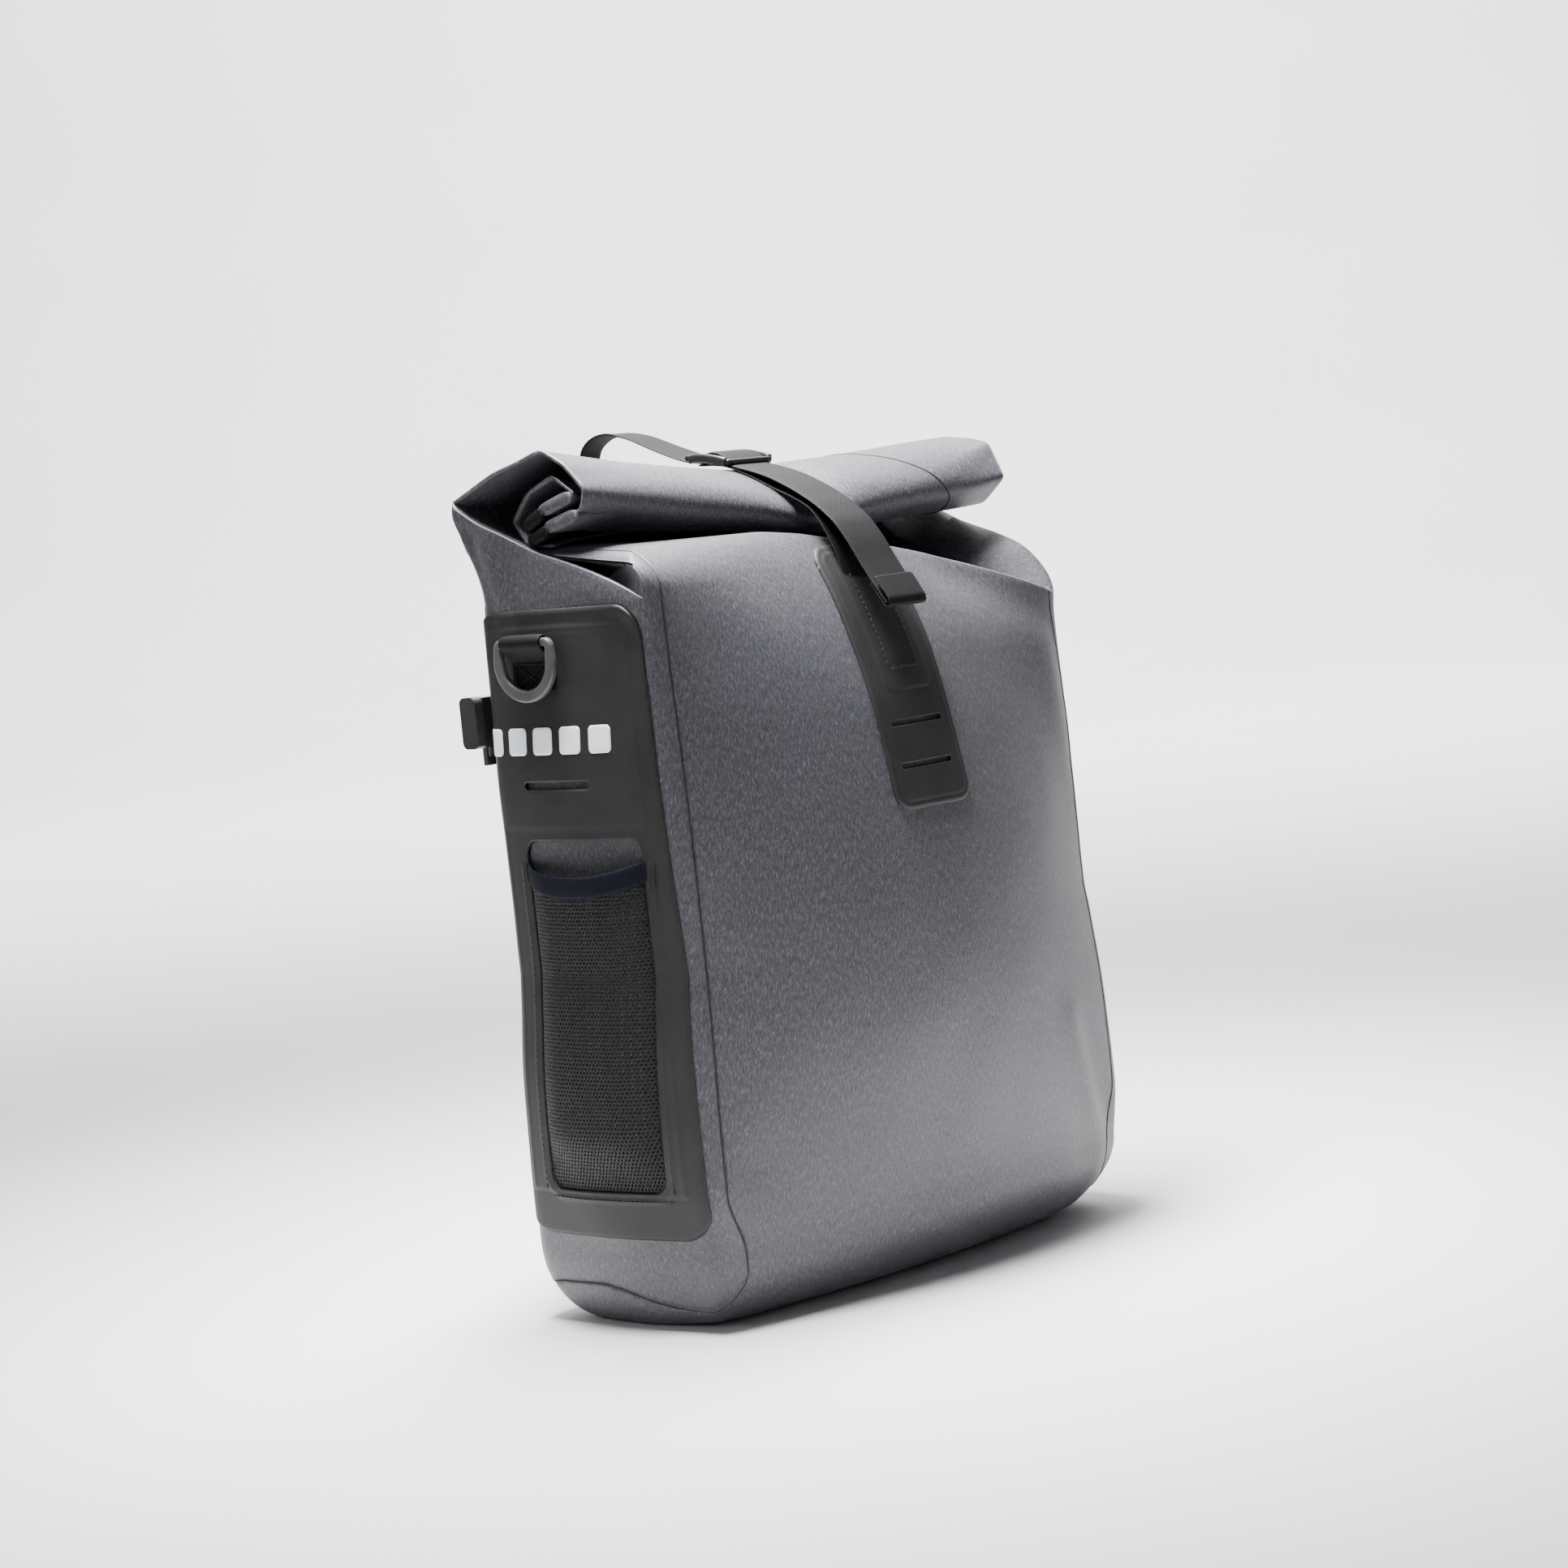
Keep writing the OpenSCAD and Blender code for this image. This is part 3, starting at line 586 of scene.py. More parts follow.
def side_rims():
    """Height of each gusset's rim from the ear, at 0, to the front corner, at 1."""
    side = np.arange(N_SIDE + 1) / N_SIDE
    left = np.interp(side, [0, .14, .35, .62, .86, 1.0], [365, 354.5, 344, 333.5, 322, 315])
    right = np.interp(side, [0, .14, .35, .55, .74, .86, .97, 1.0],
                      [365, 354, 343, 333, 326, 319, 300, 294])
    return blur(left, 1.5), blur(right, 1.5)


def front_rim():
    """Height of the front's crest at every front column, with one more at the right corner."""
    x = np.linspace(-1, 1, N_FRONT + 1)
    crest = np.interp(x, [-1, -.985, -.965, -.93, -.86, -.3, -.15, .0, .12, .38, .58, .86, .97, 1],
                      [331, 333, 334.5, 336.5, 338, 338, 335.5, 331.5, 329, 320.5, 312.5, 300, 295, 294])
    return blur(crest, 1.5)


def valley():
    """Where the cloth inside the rim goes down to, at every column."""
    v = np.zeros((N_RING, 3))
    side = np.arange(N_SIDE + 1) / N_SIDE
    stops = [0, .25, .5, .75, 1]
    v[LEFT_BACK:LEFT_FRONT + 1] = read(side, stops, (
        [-118, -99, -94, -102, -126], [44, 36, 16, -10, -36], [352, 337, 327, 318, 314]))
    v[RIGHT_FRONT:RIGHT_BACK + 1] = read(side, stops, (
        [120, 103, 98, 104, 126], [44, 36, 16, -8, -36], [352, 339, 327, 314, 294]))[::-1]
    x = np.linspace(-1, 1, N_FRONT + 1)
    stops = [-1, -.93, -.84, -.7, -.5, .1, .4, .65, .85, .94, 1]
    v[LEFT_FRONT:RIGHT_FRONT + 1] = read(x, stops, (
        [-134, -129, -115, -96, -70, 14, 56, 89, 111, 118, 126],
        [22, 22, 20, 18, 14, 10, 4, -2, -12, -20, -36],
        [340, 342, 342, 341, 340, 334, 327, 320, 309, 303, 296]))
    return v


ROUND_Z = 34.0                 # the bottom edge starts to turn under here
ROUND_ROWS = 18
FLOOR_ROWS = 12
FLOOR_MID_Y = -6.0
FLOOR_HALF_W = 146.0
WALL_STEP = 1.5
FRONT_ROWS = 118
INNER_ROWS = 18
COLUMN = 1.78                  # a column's width on the cloth, mm
ROW = 2.5                      # a row's height on the cloth, mm

rim_left, rim_right = side_rims()
crest = front_rim()
rim_z = np.zeros(N_RING)
rim_z[LEFT_BACK:LEFT_FRONT + 1] = rim_left
rim_z[RIGHT_FRONT:RIGHT_BACK + 1] = rim_right[::-1]
rim_z[LEFT_FRONT:RIGHT_FRONT + 1] = crest
ring_away = np.minimum(np.arange(N_RING), N_RING - np.arange(N_RING))
rim_z = np.where(ring_away < N_BACK, 353.0 + 12.0 * (ring_away / N_BACK) ** 4, rim_z)
wall = section(np.arange(ROUND_Z, 368.0, WALL_STEP))
inner_end = valley()


def bottom_rows():
    """The floor from its middle outwards, then the rounded edge up to where the walls start."""
    ring = wall[0]
    cols = np.arange(N_RING)
    narrow = 14.0 + 30.0 * bump(cols, RIGHT_FRONT, 15.0) + 5.0 * bump(cols, LEFT_FRONT, 12.0)
    rows = []
    shrink = np.concatenate([np.linspace(0.04, 1.0, FLOOR_ROWS)[:-1], np.ones(ROUND_ROWS)])
    angle = np.concatenate([np.full(FLOOR_ROWS - 1, math.pi / 2),
                            np.linspace(math.pi / 2, 0, ROUND_ROWS + 1)[:-1]])
    for s, phi in zip(shrink, angle):
        turn = 1 - math.cos(phi)
        p = ring.copy()
        p[:, 0] *= 1 - narrow / FLOOR_HALF_W * turn
        p[:, 0] *= s
        p[:, 1] = FLOOR_MID_Y + (p[:, 1] - FLOOR_MID_Y) * (1 - 0.45 * turn)
        p[:, 1] = FLOOR_MID_Y + (p[:, 1] - FLOOR_MID_Y) * s
        p[:, 2] = FLOOR_Z + (ROUND_Z - FLOOR_Z) * (1 - math.sin(phi))
        rows.append(p)
    return np.array(rows)


bottom = bottom_rows()
WALL_ROW = len(bottom)
body = np.concatenate([bottom, wall])      # the closed body by row and column, without rims


def pick(grid, c, r):
    """The grid's value at fractional column c and row r; its last column joins the first."""
    r = np.clip(r, 0, len(grid) - 1.0001)
    i, j = np.floor(r).astype(int), np.floor(c).astype(int)
    u, v = r - i, c - j
    if grid.ndim == 3:
        u, v = u[..., None], v[..., None]
    j0, j1 = j % grid.shape[1], (j + 1) % grid.shape[1]
    return ((grid[i, j0] * (1 - v) + grid[i, j1] * v) * (1 - u)
            + (grid[i + 1, j0] * (1 - v) + grid[i + 1, j1] * v) * u)


def row_of(z):
    """The row of the body at height z, on its rounded edge or its walls."""
    z = np.asarray(z, float)
    phi = np.arcsin(np.clip(1 - (z - FLOOR_Z) / (ROUND_Z - FLOOR_Z), 0, 1))
    edge = FLOOR_ROWS - 1 + (1 - phi / (math.pi / 2)) * ROUND_ROWS
    return np.where(z < ROUND_Z, edge, WALL_ROW + (z - ROUND_Z) / WALL_STEP)


def on_body(c, z):
    c, z = np.broadcast_arrays(np.asarray(c, float), np.asarray(z, float))
    return pick(body, c % N_RING, row_of(z))


def tuck(c, rim_heights, ends):
    """Rows that turn over the rim and run down into the cloth's inner end under the roll."""
    rim = on_body(c, rim_heights)
    rise = unit(rim - on_body(c, rim_heights - 6.0))
    inward = ends - rim
    inward[:, 2] = 0
    reach = np.linalg.norm(inward, axis=1)[:, None]
    inward /= np.maximum(reach, 1e-6)
    w = np.linspace(0, 1, INNER_ROWS + 1)[1:, None, None] ** 1.5
    a = rim + rise * np.minimum(2.6, 0.2 * reach) + inward * 0.6
    b = rim + inward * np.minimum(9.0, 0.5 * reach) + (ends - rim) * np.array([0, 0, 0.12])
    return ((1 - w) ** 3 * rim + 3 * (1 - w) ** 2 * w * a + 3 * (1 - w) * w ** 2 * b + w ** 3 * ends)


def front_seam_column(z):
    """Column, for the left gusset, of the seam that runs down the front face."""
    return LEFT_FRONT + WRAP + 4.5 * ease((60.0 - z) / 28.0)


def seam_floor(a):
    """Height of the gusset's lower seam, a mm forward from the rear corner."""
    return np.interp(a, [0, 12, 28, 42, 52, 60, 70, 80, 92, 104, 118],
                     [17, 18.5, 19.0, 19.2, 17.6, 15.4, 12.6, 10.4, 8.8, 8.0, 8.0])


CORNER_R = 24.0                # the gusset's lower front corner


def gusset_distance(c, z, side):
    """Distance inside a gusset's outline, negative inside, on the unrolled cloth."""
    c = np.where(c > N_RING / 2, N_RING - c, c) if side > 0 else c
    back = (c - LEFT_BACK) * COLUMN
    fore = (front_seam_column(z) - c) * COLUMN
    down = z - seam_floor(back)
    corner = CORNER_R - np.hypot(np.maximum(CORNER_R - fore, 0), np.maximum(CORNER_R - down, 0))
    inside = np.minimum(back, np.minimum(np.minimum(fore, down), corner))
    return -inside


def back_distance(c, z):
    """Distance inside the back's outline, negative inside."""
    away = np.where(c > N_RING / 2, N_RING - c, c)
    return -np.minimum((LEFT_BACK - away) * COLUMN, z - seam_floor(0.0))


def outline_floor(f):
    """Height of the gusset's lower edge, at f from the rear corner, 0, to the front seam, 1."""
    c = gusset_columns(f, 40.0)
    back = (c - LEFT_BACK) * COLUMN
    z = seam_floor(back)
    for _ in range(6):
        fore = (front_seam_column(z) - c) * COLUMN
        away = np.clip(CORNER_R - fore, 0, CORNER_R)
        z = seam_floor(back) + CORNER_R - np.sqrt(np.maximum(CORNER_R ** 2 - away ** 2, 0))
    return z


def gusset_columns(f, z):
    """Columns of the left gusset at height z, at f from the rear corner, 0, to the front seam, 1."""
    return LEFT_BACK + f * (front_seam_column(z) - LEFT_BACK)


def mirrored(c, sign):
    """The same columns on the right side, where sign is 1."""
    return (N_RING - c) % N_RING if sign > 0 else c


def merged(blocks, name, material):
    """Grids joined into one mesh, with their shared edges welded."""
    parts, uvs = [], []
    for grid, flip in blocks:
        faces = grid_faces(*grid.shape[:2])
        parts.append((grid.reshape(-1, 3), [f[::-1] for f in faces] if flip else faces))
        uvs.append(cloth_uv(grid))
    v, f = join(parts)
    ob = mesh(name, v, f, material, uv=np.concatenate(uvs))
    bm = bmesh.new()
    bm.from_mesh(ob.data)
    bmesh.ops.remove_doubles(bm, verts=bm.verts, dist=0.04 * MM)
    bm.to_mesh(ob.data)
    bm.free()
    return add_thickness(ob, CLOTH_T)


GUSSET_ROWS, WRAP_ROWS, BELLOWS_ROWS = 110, 12, 14
GUSSET_COLS, WRAP_COLS = 64, 10


def gusset(side, sign):
    """One side: the wall, its inner fold under the rim, the wrap onto the front and the bellows."""
    rims = rim_left if sign < 0 else rim_right
    f_corner = N_SIDE / (N_SIDE + WRAP)
    f = np.concatenate([np.linspace(0, f_corner, GUSSET_COLS), np.linspace(f_corner, 1, WRAP_COLS)[1:]])
    low = outline_floor(f)
    straight = gusset_columns(f, 200.0)
    top = np.interp(np.clip(straight - LEFT_BACK, 0, N_SIDE), np.arange(N_SIDE + 1), rims)
    wall_grid = []
    for t in np.linspace(0, 1, GUSSET_ROWS):
        z = low + (top - low) * t
        wall_grid.append(on_body(mirrored(gusset_columns(f, z), sign), z))
    wall_grid = np.array(wall_grid)
    # The inner fold behind the rim.
    c = mirrored(straight[:GUSSET_COLS], sign)
    ends = blur(inner_end[np.round(c).astype(int) % N_RING], 2.0)
    fold = tuck(c, top[:GUSSET_COLS], ends)
    fold = np.concatenate([wall_grid[-1:, :GUSSET_COLS], fold])
    # The wrap: on up to the front's crest and over it, as the narrow band beside the seam.
    c = straight[GUSSET_COLS - 1:]
    front_index = np.clip(c - LEFT_FRONT, 0, WRAP)
    c = mirrored(c, sign)
    front_stops = np.arange(N_FRONT + 1)
    crest_z = np.interp(front_index, front_stops, crest if sign < 0 else crest[::-1])
    rows = np.array([on_body(c, rims[-1] + (crest_z - rims[-1]) * t) for t in np.linspace(0, 1, WRAP_ROWS)])
    front_ends = inner_end[LEFT_FRONT:RIGHT_FRONT + 1]
    over_ends = read(front_index, front_stops, (front_ends if sign < 0 else front_ends[::-1]).T)
    over = tuck(c, crest_z, over_ends)
    # The bellows, from the band's free edge in to the bottom of the fold.
    edge = np.concatenate([rows[-1:, 0], over[:, 0]])
    deep = [ends[int(k)] for k in np.linspace(GUSSET_COLS - 3, GUSSET_COLS * 0.36, 8)]
    deep = smooth_line([wall_grid[-1, GUSSET_COLS - 1]] + deep, len(edge), 1.5)
    t = np.linspace(0, 1, BELLOWS_ROWS)[:, None, None]
    hang = np.sin(t * math.pi) * np.linspace(0, 1, len(edge))[None, :, None] ** 0.5
    bellows = edge * (1 - t) + deep * t + hang * np.array([-sign * 4.0, 0, 1.5])
    bellows[:, 0] = resample(rows[::-1, 0], BELLOWS_ROWS)
    flip = sign > 0
    ob = merged([(wall_grid, flip), (fold, flip), (np.concatenate([rows, over]), flip), (bellows, not flip)],
                "gusset_cloth_" + side, FABRIC)
    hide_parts("side_gusset_" + side, "gusset_fold_" + side)


# ------------------------------------------------------------------ cutting a shape out of a grid
def touched(keep):
    """Points that a kept cell touches, and those of them on the cut's edge. Columns wrap round."""
    rows, cols = keep.shape
    used = np.zeros((rows + 1, cols), bool)
    inside = np.ones((rows + 1, cols), bool)
    for i in (0, 1):
        for j in (0, 1):
            part = np.zeros((rows + 1, cols), bool)
            part[i:i + rows] = np.roll(keep, j, axis=1)
            used |= part
            inside &= part
    return used, used & ~inside


def slope(distance, p, eps):
    """How fast the distance grows along each of the two coordinates."""
    return np.stack([(distance(p + step) - distance(p - step)) / (2 * eps)
                     for step in (np.array([eps, 0]), np.array([0, eps]))], 2)


def kept_faces(keep, used):
    """Quads of the kept cells, counted over the used points, and each point's number."""
    index = -np.ones(used.shape, int)
    index[used] = np.arange(used.sum())
    faces = []
    for i, j in zip(*np.nonzero(keep)):
        k = (j + 1) % used.shape[1]
        faces.append((index[i, j], index[i, k], index[i + 1, k], index[i + 1, j]))
    return faces, index


# The whole body with its rims turned in, as one grid that the front cloth is cut from.
wall_heights = ROUND_Z + (rim_z - ROUND_Z) * np.linspace(0.0, 1.0, FRONT_ROWS)[:, None]
whole = np.concatenate([bottom, on_body(np.arange(N_RING), wall_heights),
                        tuck(np.arange(N_RING), rim_z, inner_end)])
heights = np.concatenate([bottom[..., 2], wall_heights,
                          rim_z + 2.0 * np.arange(1, INNER_ROWS + 1)[:, None]])


def cut_front():
    """The front and the bottom are one cloth: everything outside the gussets and the back."""
    n_rows = len(whole)
    r, c = np.meshgrid(np.arange(n_rows), np.arange(N_RING), indexing="ij")
    p = np.stack([c, r], 2).astype(float)
    metric = np.array([COLUMN, ROW])

    def distance(q):
        c = q[..., 0]
        z = pick(heights, c, q[..., 1])
        gussets = np.minimum(gusset_distance(c, z, -1), gusset_distance(c, z, 1))
        return -np.minimum(gussets, back_distance(c, z))
    keep = distance(p[:-1] + 0.5) < 0
    used, edge = touched(keep)
    edge[0] = edge[-1] = False
    for _ in range(4):
        g = slope(distance, p, 0.02) / metric
        g /= np.maximum((g ** 2).sum(2), 0.2)[..., None]
        move = np.clip(distance(p), -2.0, 2.0)[..., None] * g / metric
        p = np.where(edge[..., None], p - move, p)
    c, r = p[used].T
    faces, index = kept_faces(keep, used)
    faces.append(index[0][::-1])
    return pick(whole, c, r), faces, np.column_stack([c * COLUMN, pick(running(whole), c, r)])


v, f, uv = cut_front()
front = add_thickness(mesh("front_and_bottom_cloth", v, f, FABRIC, uv=uv), CLOTH_T)
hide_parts("front_panel", "base_panel")

for side, sign in SIDES:
    gusset(side, sign)

# ------------------------------------------------------------------ the roll
# Sections through the roll at places along it, from -1 at its left end to 1, as (y, z) points:
# the outer cloth from the back's rim to its hem, then the inner cloth.
OUTER = {
    -1.00: [(57, 365), (31, 375.5), (17, 380), (6, 384), (-7, 376.5),
            (-18, 365), (-15, 356), (2, 350), (20, 346)],
    -0.60: [(40, 356), (33, 367), (22, 374), (10, 376.5), (-5, 371.5),
            (-19, 361), (-20, 351), (-6, 343), (16, 344)],
    -0.25: [(35, 353), (33, 364), (25, 370.5), (13, 371), (-3, 366),
            (-20, 357), (-26, 346), (-16, 339), (10, 340)],
    0.00: [(34, 353), (33, 362), (27, 368.5), (15, 368), (0, 362.5),
           (-17, 353.5), (-30, 344), (-26, 336), (4, 336)],
    0.25: [(35, 353), (32, 365), (23, 370), (10, 370), (-6, 365),
           (-22, 355), (-27, 343), (-17, 334.5), (6, 335)],
    0.60: [(38, 355), (32, 367), (22, 371.5), (9, 371.5), (-8, 367),
           (-22, 356.5), (-24, 345), (-12, 337.5), (10, 338)],
    1.00: [(57, 365), (40, 371.5), (25, 374), (12.6, 374.5), (-3, 372.5),
           (-14, 369.5), (-24, 352), (-10, 340.5), (8, 339)],
}
INNER = {
    -1.0: [(6, 341), (14, 341.5), (22, 342.5), (30, 354), (19, 366),
           (2, 372.5), (-12, 363), (-2, 360.5), (9, 357.5)],
    -0.5: [(4, 341), (12, 342), (22, 345), (29, 354), (20, 363),
           (4, 368), (-10, 360), (2, 357), (15, 352)],
    0.0: [(0, 340), (8, 341), (18, 344), (26, 353), (19, 360),
          (8, 361), (-4, 355), (4, 353), (12, 350)],
    0.5: [(0, 341), (8, 341), (20, 344), (28, 354), (20, 362),
          (4, 365), (-12, 358), (2, 355), (14, 351)],
    1.0: [(0, 343), (10, 343), (24, 345), (33, 355), (24, 366),
          (6, 369), (-13, 364), (-10, 352), (8, 350)],
}
# Where each of those points lies along x at the roll's two ends.
END_LEFT = np.array([-146.5, -141.5, -137.5, -135.5, -134.5, -134, -134, -134, -134])
END_RIGHT = np.array([146.5, 144, 142.5, 142, 142, 143, 141, 140, 140.0])


def between_stations(stations, u):
    """The section at u, on a smooth curve through the given ones."""
    keys = sorted(stations)
    values = np.array([stations[k] for k in keys], float)
    slopes = np.diff(values, axis=0) / np.diff(keys)[:, None, None]
    tangents = np.concatenate([slopes[:1], (slopes[:-1] + slopes[1:]) / 2, slopes[-1:]])
    i = min(len(keys) - 2, max(0, int(np.searchsorted(keys, u, side="right")) - 1))
    h = keys[i + 1] - keys[i]
    t = (u - keys[i]) / h
    return ((2 * t ** 3 - 3 * t ** 2 + 1) * values[i] + (t ** 3 - 2 * t ** 2 + t) * h * tangents[i]
            + (-2 * t ** 3 + 3 * t ** 2) * values[i + 1] + (t ** 3 - t ** 2) * h * tangents[i + 1])


BACK = np.arange(RIGHT_BACK, N_RING + LEFT_BACK + 1) % N_RING      # from the right ear to the left
BACK_ROWS, ROLL_ROWS = 100, 150
back_floor = float(seam_floor(0.0))
back_rim = rim_z[BACK]


def outer_roll():
    """The back cloth's upper part: from the rim over the roll and down to its hem."""
    rows = []
    for start, u in zip(on_body(BACK, back_rim), np.linspace(1.0, -1.0, len(BACK))):
        x = END_LEFT * (1 - u) / 2 + END_RIGHT * (1 + u) / 2
        line = np.column_stack([x, between_stations(OUTER, u)])
        line[0] = start
        line = smooth_line(line, ROLL_ROWS, 2.0 + 4.5 * (1 - abs(u) ** 3))
        line[0] = start
        rows.append(line)
    grid = np.swapaxes(np.array(rows), 0, 1)
    grid[1:, :, 2] += 0.5 * soft_noise(grid[1:], 42.0, 5)
    return grid


roll_grid = outer_roll()
back_wall = [on_body(BACK, back_floor + (back_rim - back_floor) * t) for t in np.linspace(0, 1, BACK_ROWS)]
back = surface("back_and_roll_cloth", np.concatenate([back_wall, roll_grid[1:]]), FABRIC)
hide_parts("back_panel", "roll_outer")


def inner_roll():
    """The front cloth's upper part, wound up inside and drawn together away from the two ends."""
    rows = []
    middle = np.array([6.0, 352.5])
    for u in np.linspace(1.0, -1.0, 110):
        pts = middle + (between_stations(INNER, u) - middle) * (1 - 0.30 * (1 - abs(u) ** 6))
        x = np.full(len(pts), -133.5 * (1 - u) / 2 + 139.0 * (1 + u) / 2)
        rows.append(smooth_line(np.column_stack([x, pts]), 120, 1.8 + 3.0 * (1 - abs(u) ** 3)))
    return np.swapaxes(np.array(rows), 0, 1)


inner = surface("inner_roll_cloth", inner_roll(), FABRIC)
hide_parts("roll_inner")


def flat_bar(name, a, b, thick, material, x0, x1, ribs):
    """A hem: a flattened bar between a and b in (y, z), running along x; ribs is its weave's depth."""
    a, b = np.array(a, float), np.array(b, float)
    along = unit(b - a)
    across = np.array([-along[1], along[0]])
    half, mid, n = np.linalg.norm(b - a) / 2, (a + b) / 2, 44
    rib = [1.0 + ribs, 1.0 - ribs]
    loop = []
    for k in range(n):
        c, s = squircle(2 * math.pi * k / n, (0.5, 0.7))
        loop.append((along * c * half + across * s * thick / 2) * rib[k % 2])
    loop = np.array(loop)
    xs = np.linspace(x0, x1, 40)
    if x1 - x0 > 60.0:
        # A long hem has fine ribs at its two ends, which show, and few rows between.
        xs = np.concatenate([np.linspace(x0, x0 + 12, 40), np.linspace(x0 + 18, x1 - 18, 30),
                             np.linspace(x1 - 12, x1, 40)])
    verts, uv = [], []
    for i, x in enumerate(xs):
        for k, (y, z) in enumerate(mid + loop * rib[i % 2]):
            verts.append((x, y, z))
            uv.append((k * 0.8, x - x0))
    faces = grid_faces(len(xs), n, ring=True)
    for end, sign in ((0, -1), (len(xs) - 1, 1)):
        last = range(end * n, end * n + n)
        for r in (0.86, 0.72, 0.58, 0.44, 0.30, 0.15):
            now = range(len(verts), len(verts) + n)
            for k, (y, z) in enumerate(mid + loop * r):
                bulge = 0.9 * (1 - r * r) + ribs * 5 * math.cos(math.pi * k) * math.cos(r * 22)
                verts.append((xs[end] + sign * bulge, y, z))
                uv.append((y, z))
            for k in range(n):
                quad = (last[k], last[(k + 1) % n], now[(k + 1) % n], now[k])
                faces.append(quad[::sign])
            last = now
        faces.append(tuple(last)[::sign])
    return mesh(name, verts, faces, material, uv=uv)


for end, a, b, thick, x0 in (("front", (7, 356.8), (19.5, 350.4), 5.4, -136.6),
                             ("back", (5, 348.8), (17.5, 344.2), 5.2, -136.4)):
    hem = flat_bar("hem_tape_" + end, a, b, thick, WEBBING, x0, 138.0, 0.035)
    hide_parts("hem_" + end, "batten_" + end)
# The hems' cloth shows only at the roll's two ends; between them the roll sags over it.
for name, a, b in (("hem_sleeve_front", (-10.5, 362.6), (10.5, 356.6)),
                   ("hem_sleeve_back", (-13.0, 354.6), (8.0, 349.2))):
    for end, x0, x1 in (("left", -135.6, -95.0), ("right", 117.0, 137.0)):
        sleeve = flat_bar(name + "_" + end, a, b, 5.8, FABRIC, x0, x1, 0.0)


# ------------------------------------------------------------------ maps onto the shell
MAP_STEP = 1.5


class ShellMap:
    """Points on part of the shell, by a coordinate across its columns and by height."""

    def __init__(self, columns, across, step, measure, facing=1.0):
        self.z = np.arange(ROUND_Z, 341.0, MAP_STEP)
        self.across = across
        self.step = step
        lines = section(self.z)[:, columns]
        self.grid = np.array([read(across, measure(line), line.T) for line in lines])
        normal = np.cross(np.gradient(self.grid, axis=1), np.gradient(self.grid, axis=0))
        self.normal = facing * unit(normal)

    def at(self, across, z, lift):
        """Points lift mm out of the shell."""
        r = (np.asarray(z, float) - self.z[0]) / MAP_STEP
        c = (np.asarray(across, float) - self.across[0]) / self.step
        c = np.clip(c, 0, len(self.across) - 1.001)
        return pick(self.grid, c, r) + pick(self.normal, c, r) * np.asarray(lift, float)[..., None]


def from_middle(line):
    """Lengths along a section, forward from the gusset's middle line at y = 0."""
    run = running(line[:, :2])
    return run - np.interp(0.0, -line[:, 1], run)


def side_shell(sign):
    columns = mirrored(np.arange(LEFT_BACK - 4, LEFT_FRONT + 16), sign)
    return ShellMap(columns, np.arange(-58.0, 62.0, 1.0), 1.0, from_middle, -sign)


side_map = {side: side_shell(sign) for side, sign in SIDES}
front_map = ShellMap(np.arange(LEFT_FRONT + 8, RIGHT_FRONT - 8), np.arange(-120.0, 120.0, 1.5), 1.5,
                     lambda line: line[:, 0])


def rounded_box(p, x0, x1, y0, y1, r):
    """Signed distance to a rounded rectangle, negative inside."""
    c = np.array([(x0 + x1) / 2, (y0 + y1) / 2])
    h = np.array([(x1 - x0) / 2, (y1 - y0) / 2]) - r
    q = np.abs(p - c) - h
    return (np.linalg.norm(np.maximum(q, 0), axis=-1) + np.minimum(np.maximum(q[..., 0], q[..., 1]), 0)) - r


def cut_sheet(name, distance, place, lift, material, bounds, cell, thick, flip=False):
    """A sheet cut to the shape where distance() is negative, laid on a surface by place()."""
    x0, x1, z0, z1 = bounds
    p = np.stack(np.meshgrid(np.arange(x0, x1 + cell, cell), np.arange(z0, z1 + cell, cell)), 2)
    inside = distance((p[:-1, :-1] + p[1:, 1:]) / 2) < 0
    keep = np.pad(inside, ((0, 0), (0, 1)))
    used, edge = touched(keep)
    for _ in range(3):
        g = unit(slope(distance, p, 0.05))
        move = np.clip(distance(p), -cell, cell)[..., None] * g
        p = np.where(edge[..., None], p - move, p)
    flat = p[used]
    verts = place(flat[:, 0], flat[:, 1], lift(flat, distance(flat)))
    faces = kept_faces(keep, used)[0]
    ob = mesh(name, verts, [f[::-1] for f in faces] if flip else faces, material, uv=flat)
    return add_thickness(ob, thick)


# ------------------------------------------------------------------ side patches
# Each as x0, x1, z0, z1 and a corner radius; x runs forward from the gusset's middle line.
WINDOW = (-30.0, 38.0, 62.0, 215.0)
WINDOW_R = 7.0
SLOT = (-26.0, 14.0, 237.0, 240.4)
PATCH_FOOT_Z, PATCH_TOP_Z = 41.0, 315.0
PATCH_R = 13.0
PATCH_LINE = 8.5               # the raised line's distance inside the outline


def patch_outline(p):
    """The patch widens towards its foot and reaches round both corners a little."""
    down = clamp01((305.0 - p[..., 1]) / 255.0)
    q = p.copy()
    q[..., 0] = np.where(p[..., 0] > 0, p[..., 0] * 48.0 / (45.5 + 12.5 * down),
                         p[..., 0] * 48.0 / (56.0 - 3.5 * down))
    return rounded_box(q, -48.0, 48.0, PATCH_FOOT_Z, PATCH_TOP_Z, PATCH_R)


def patch_distance(p):
    window = rounded_box(p, *WINDOW, WINDOW_R)
    slot = rounded_box(p, *SLOT, 1.5)
    return np.maximum(patch_outline(p), np.maximum(-window, -slot))


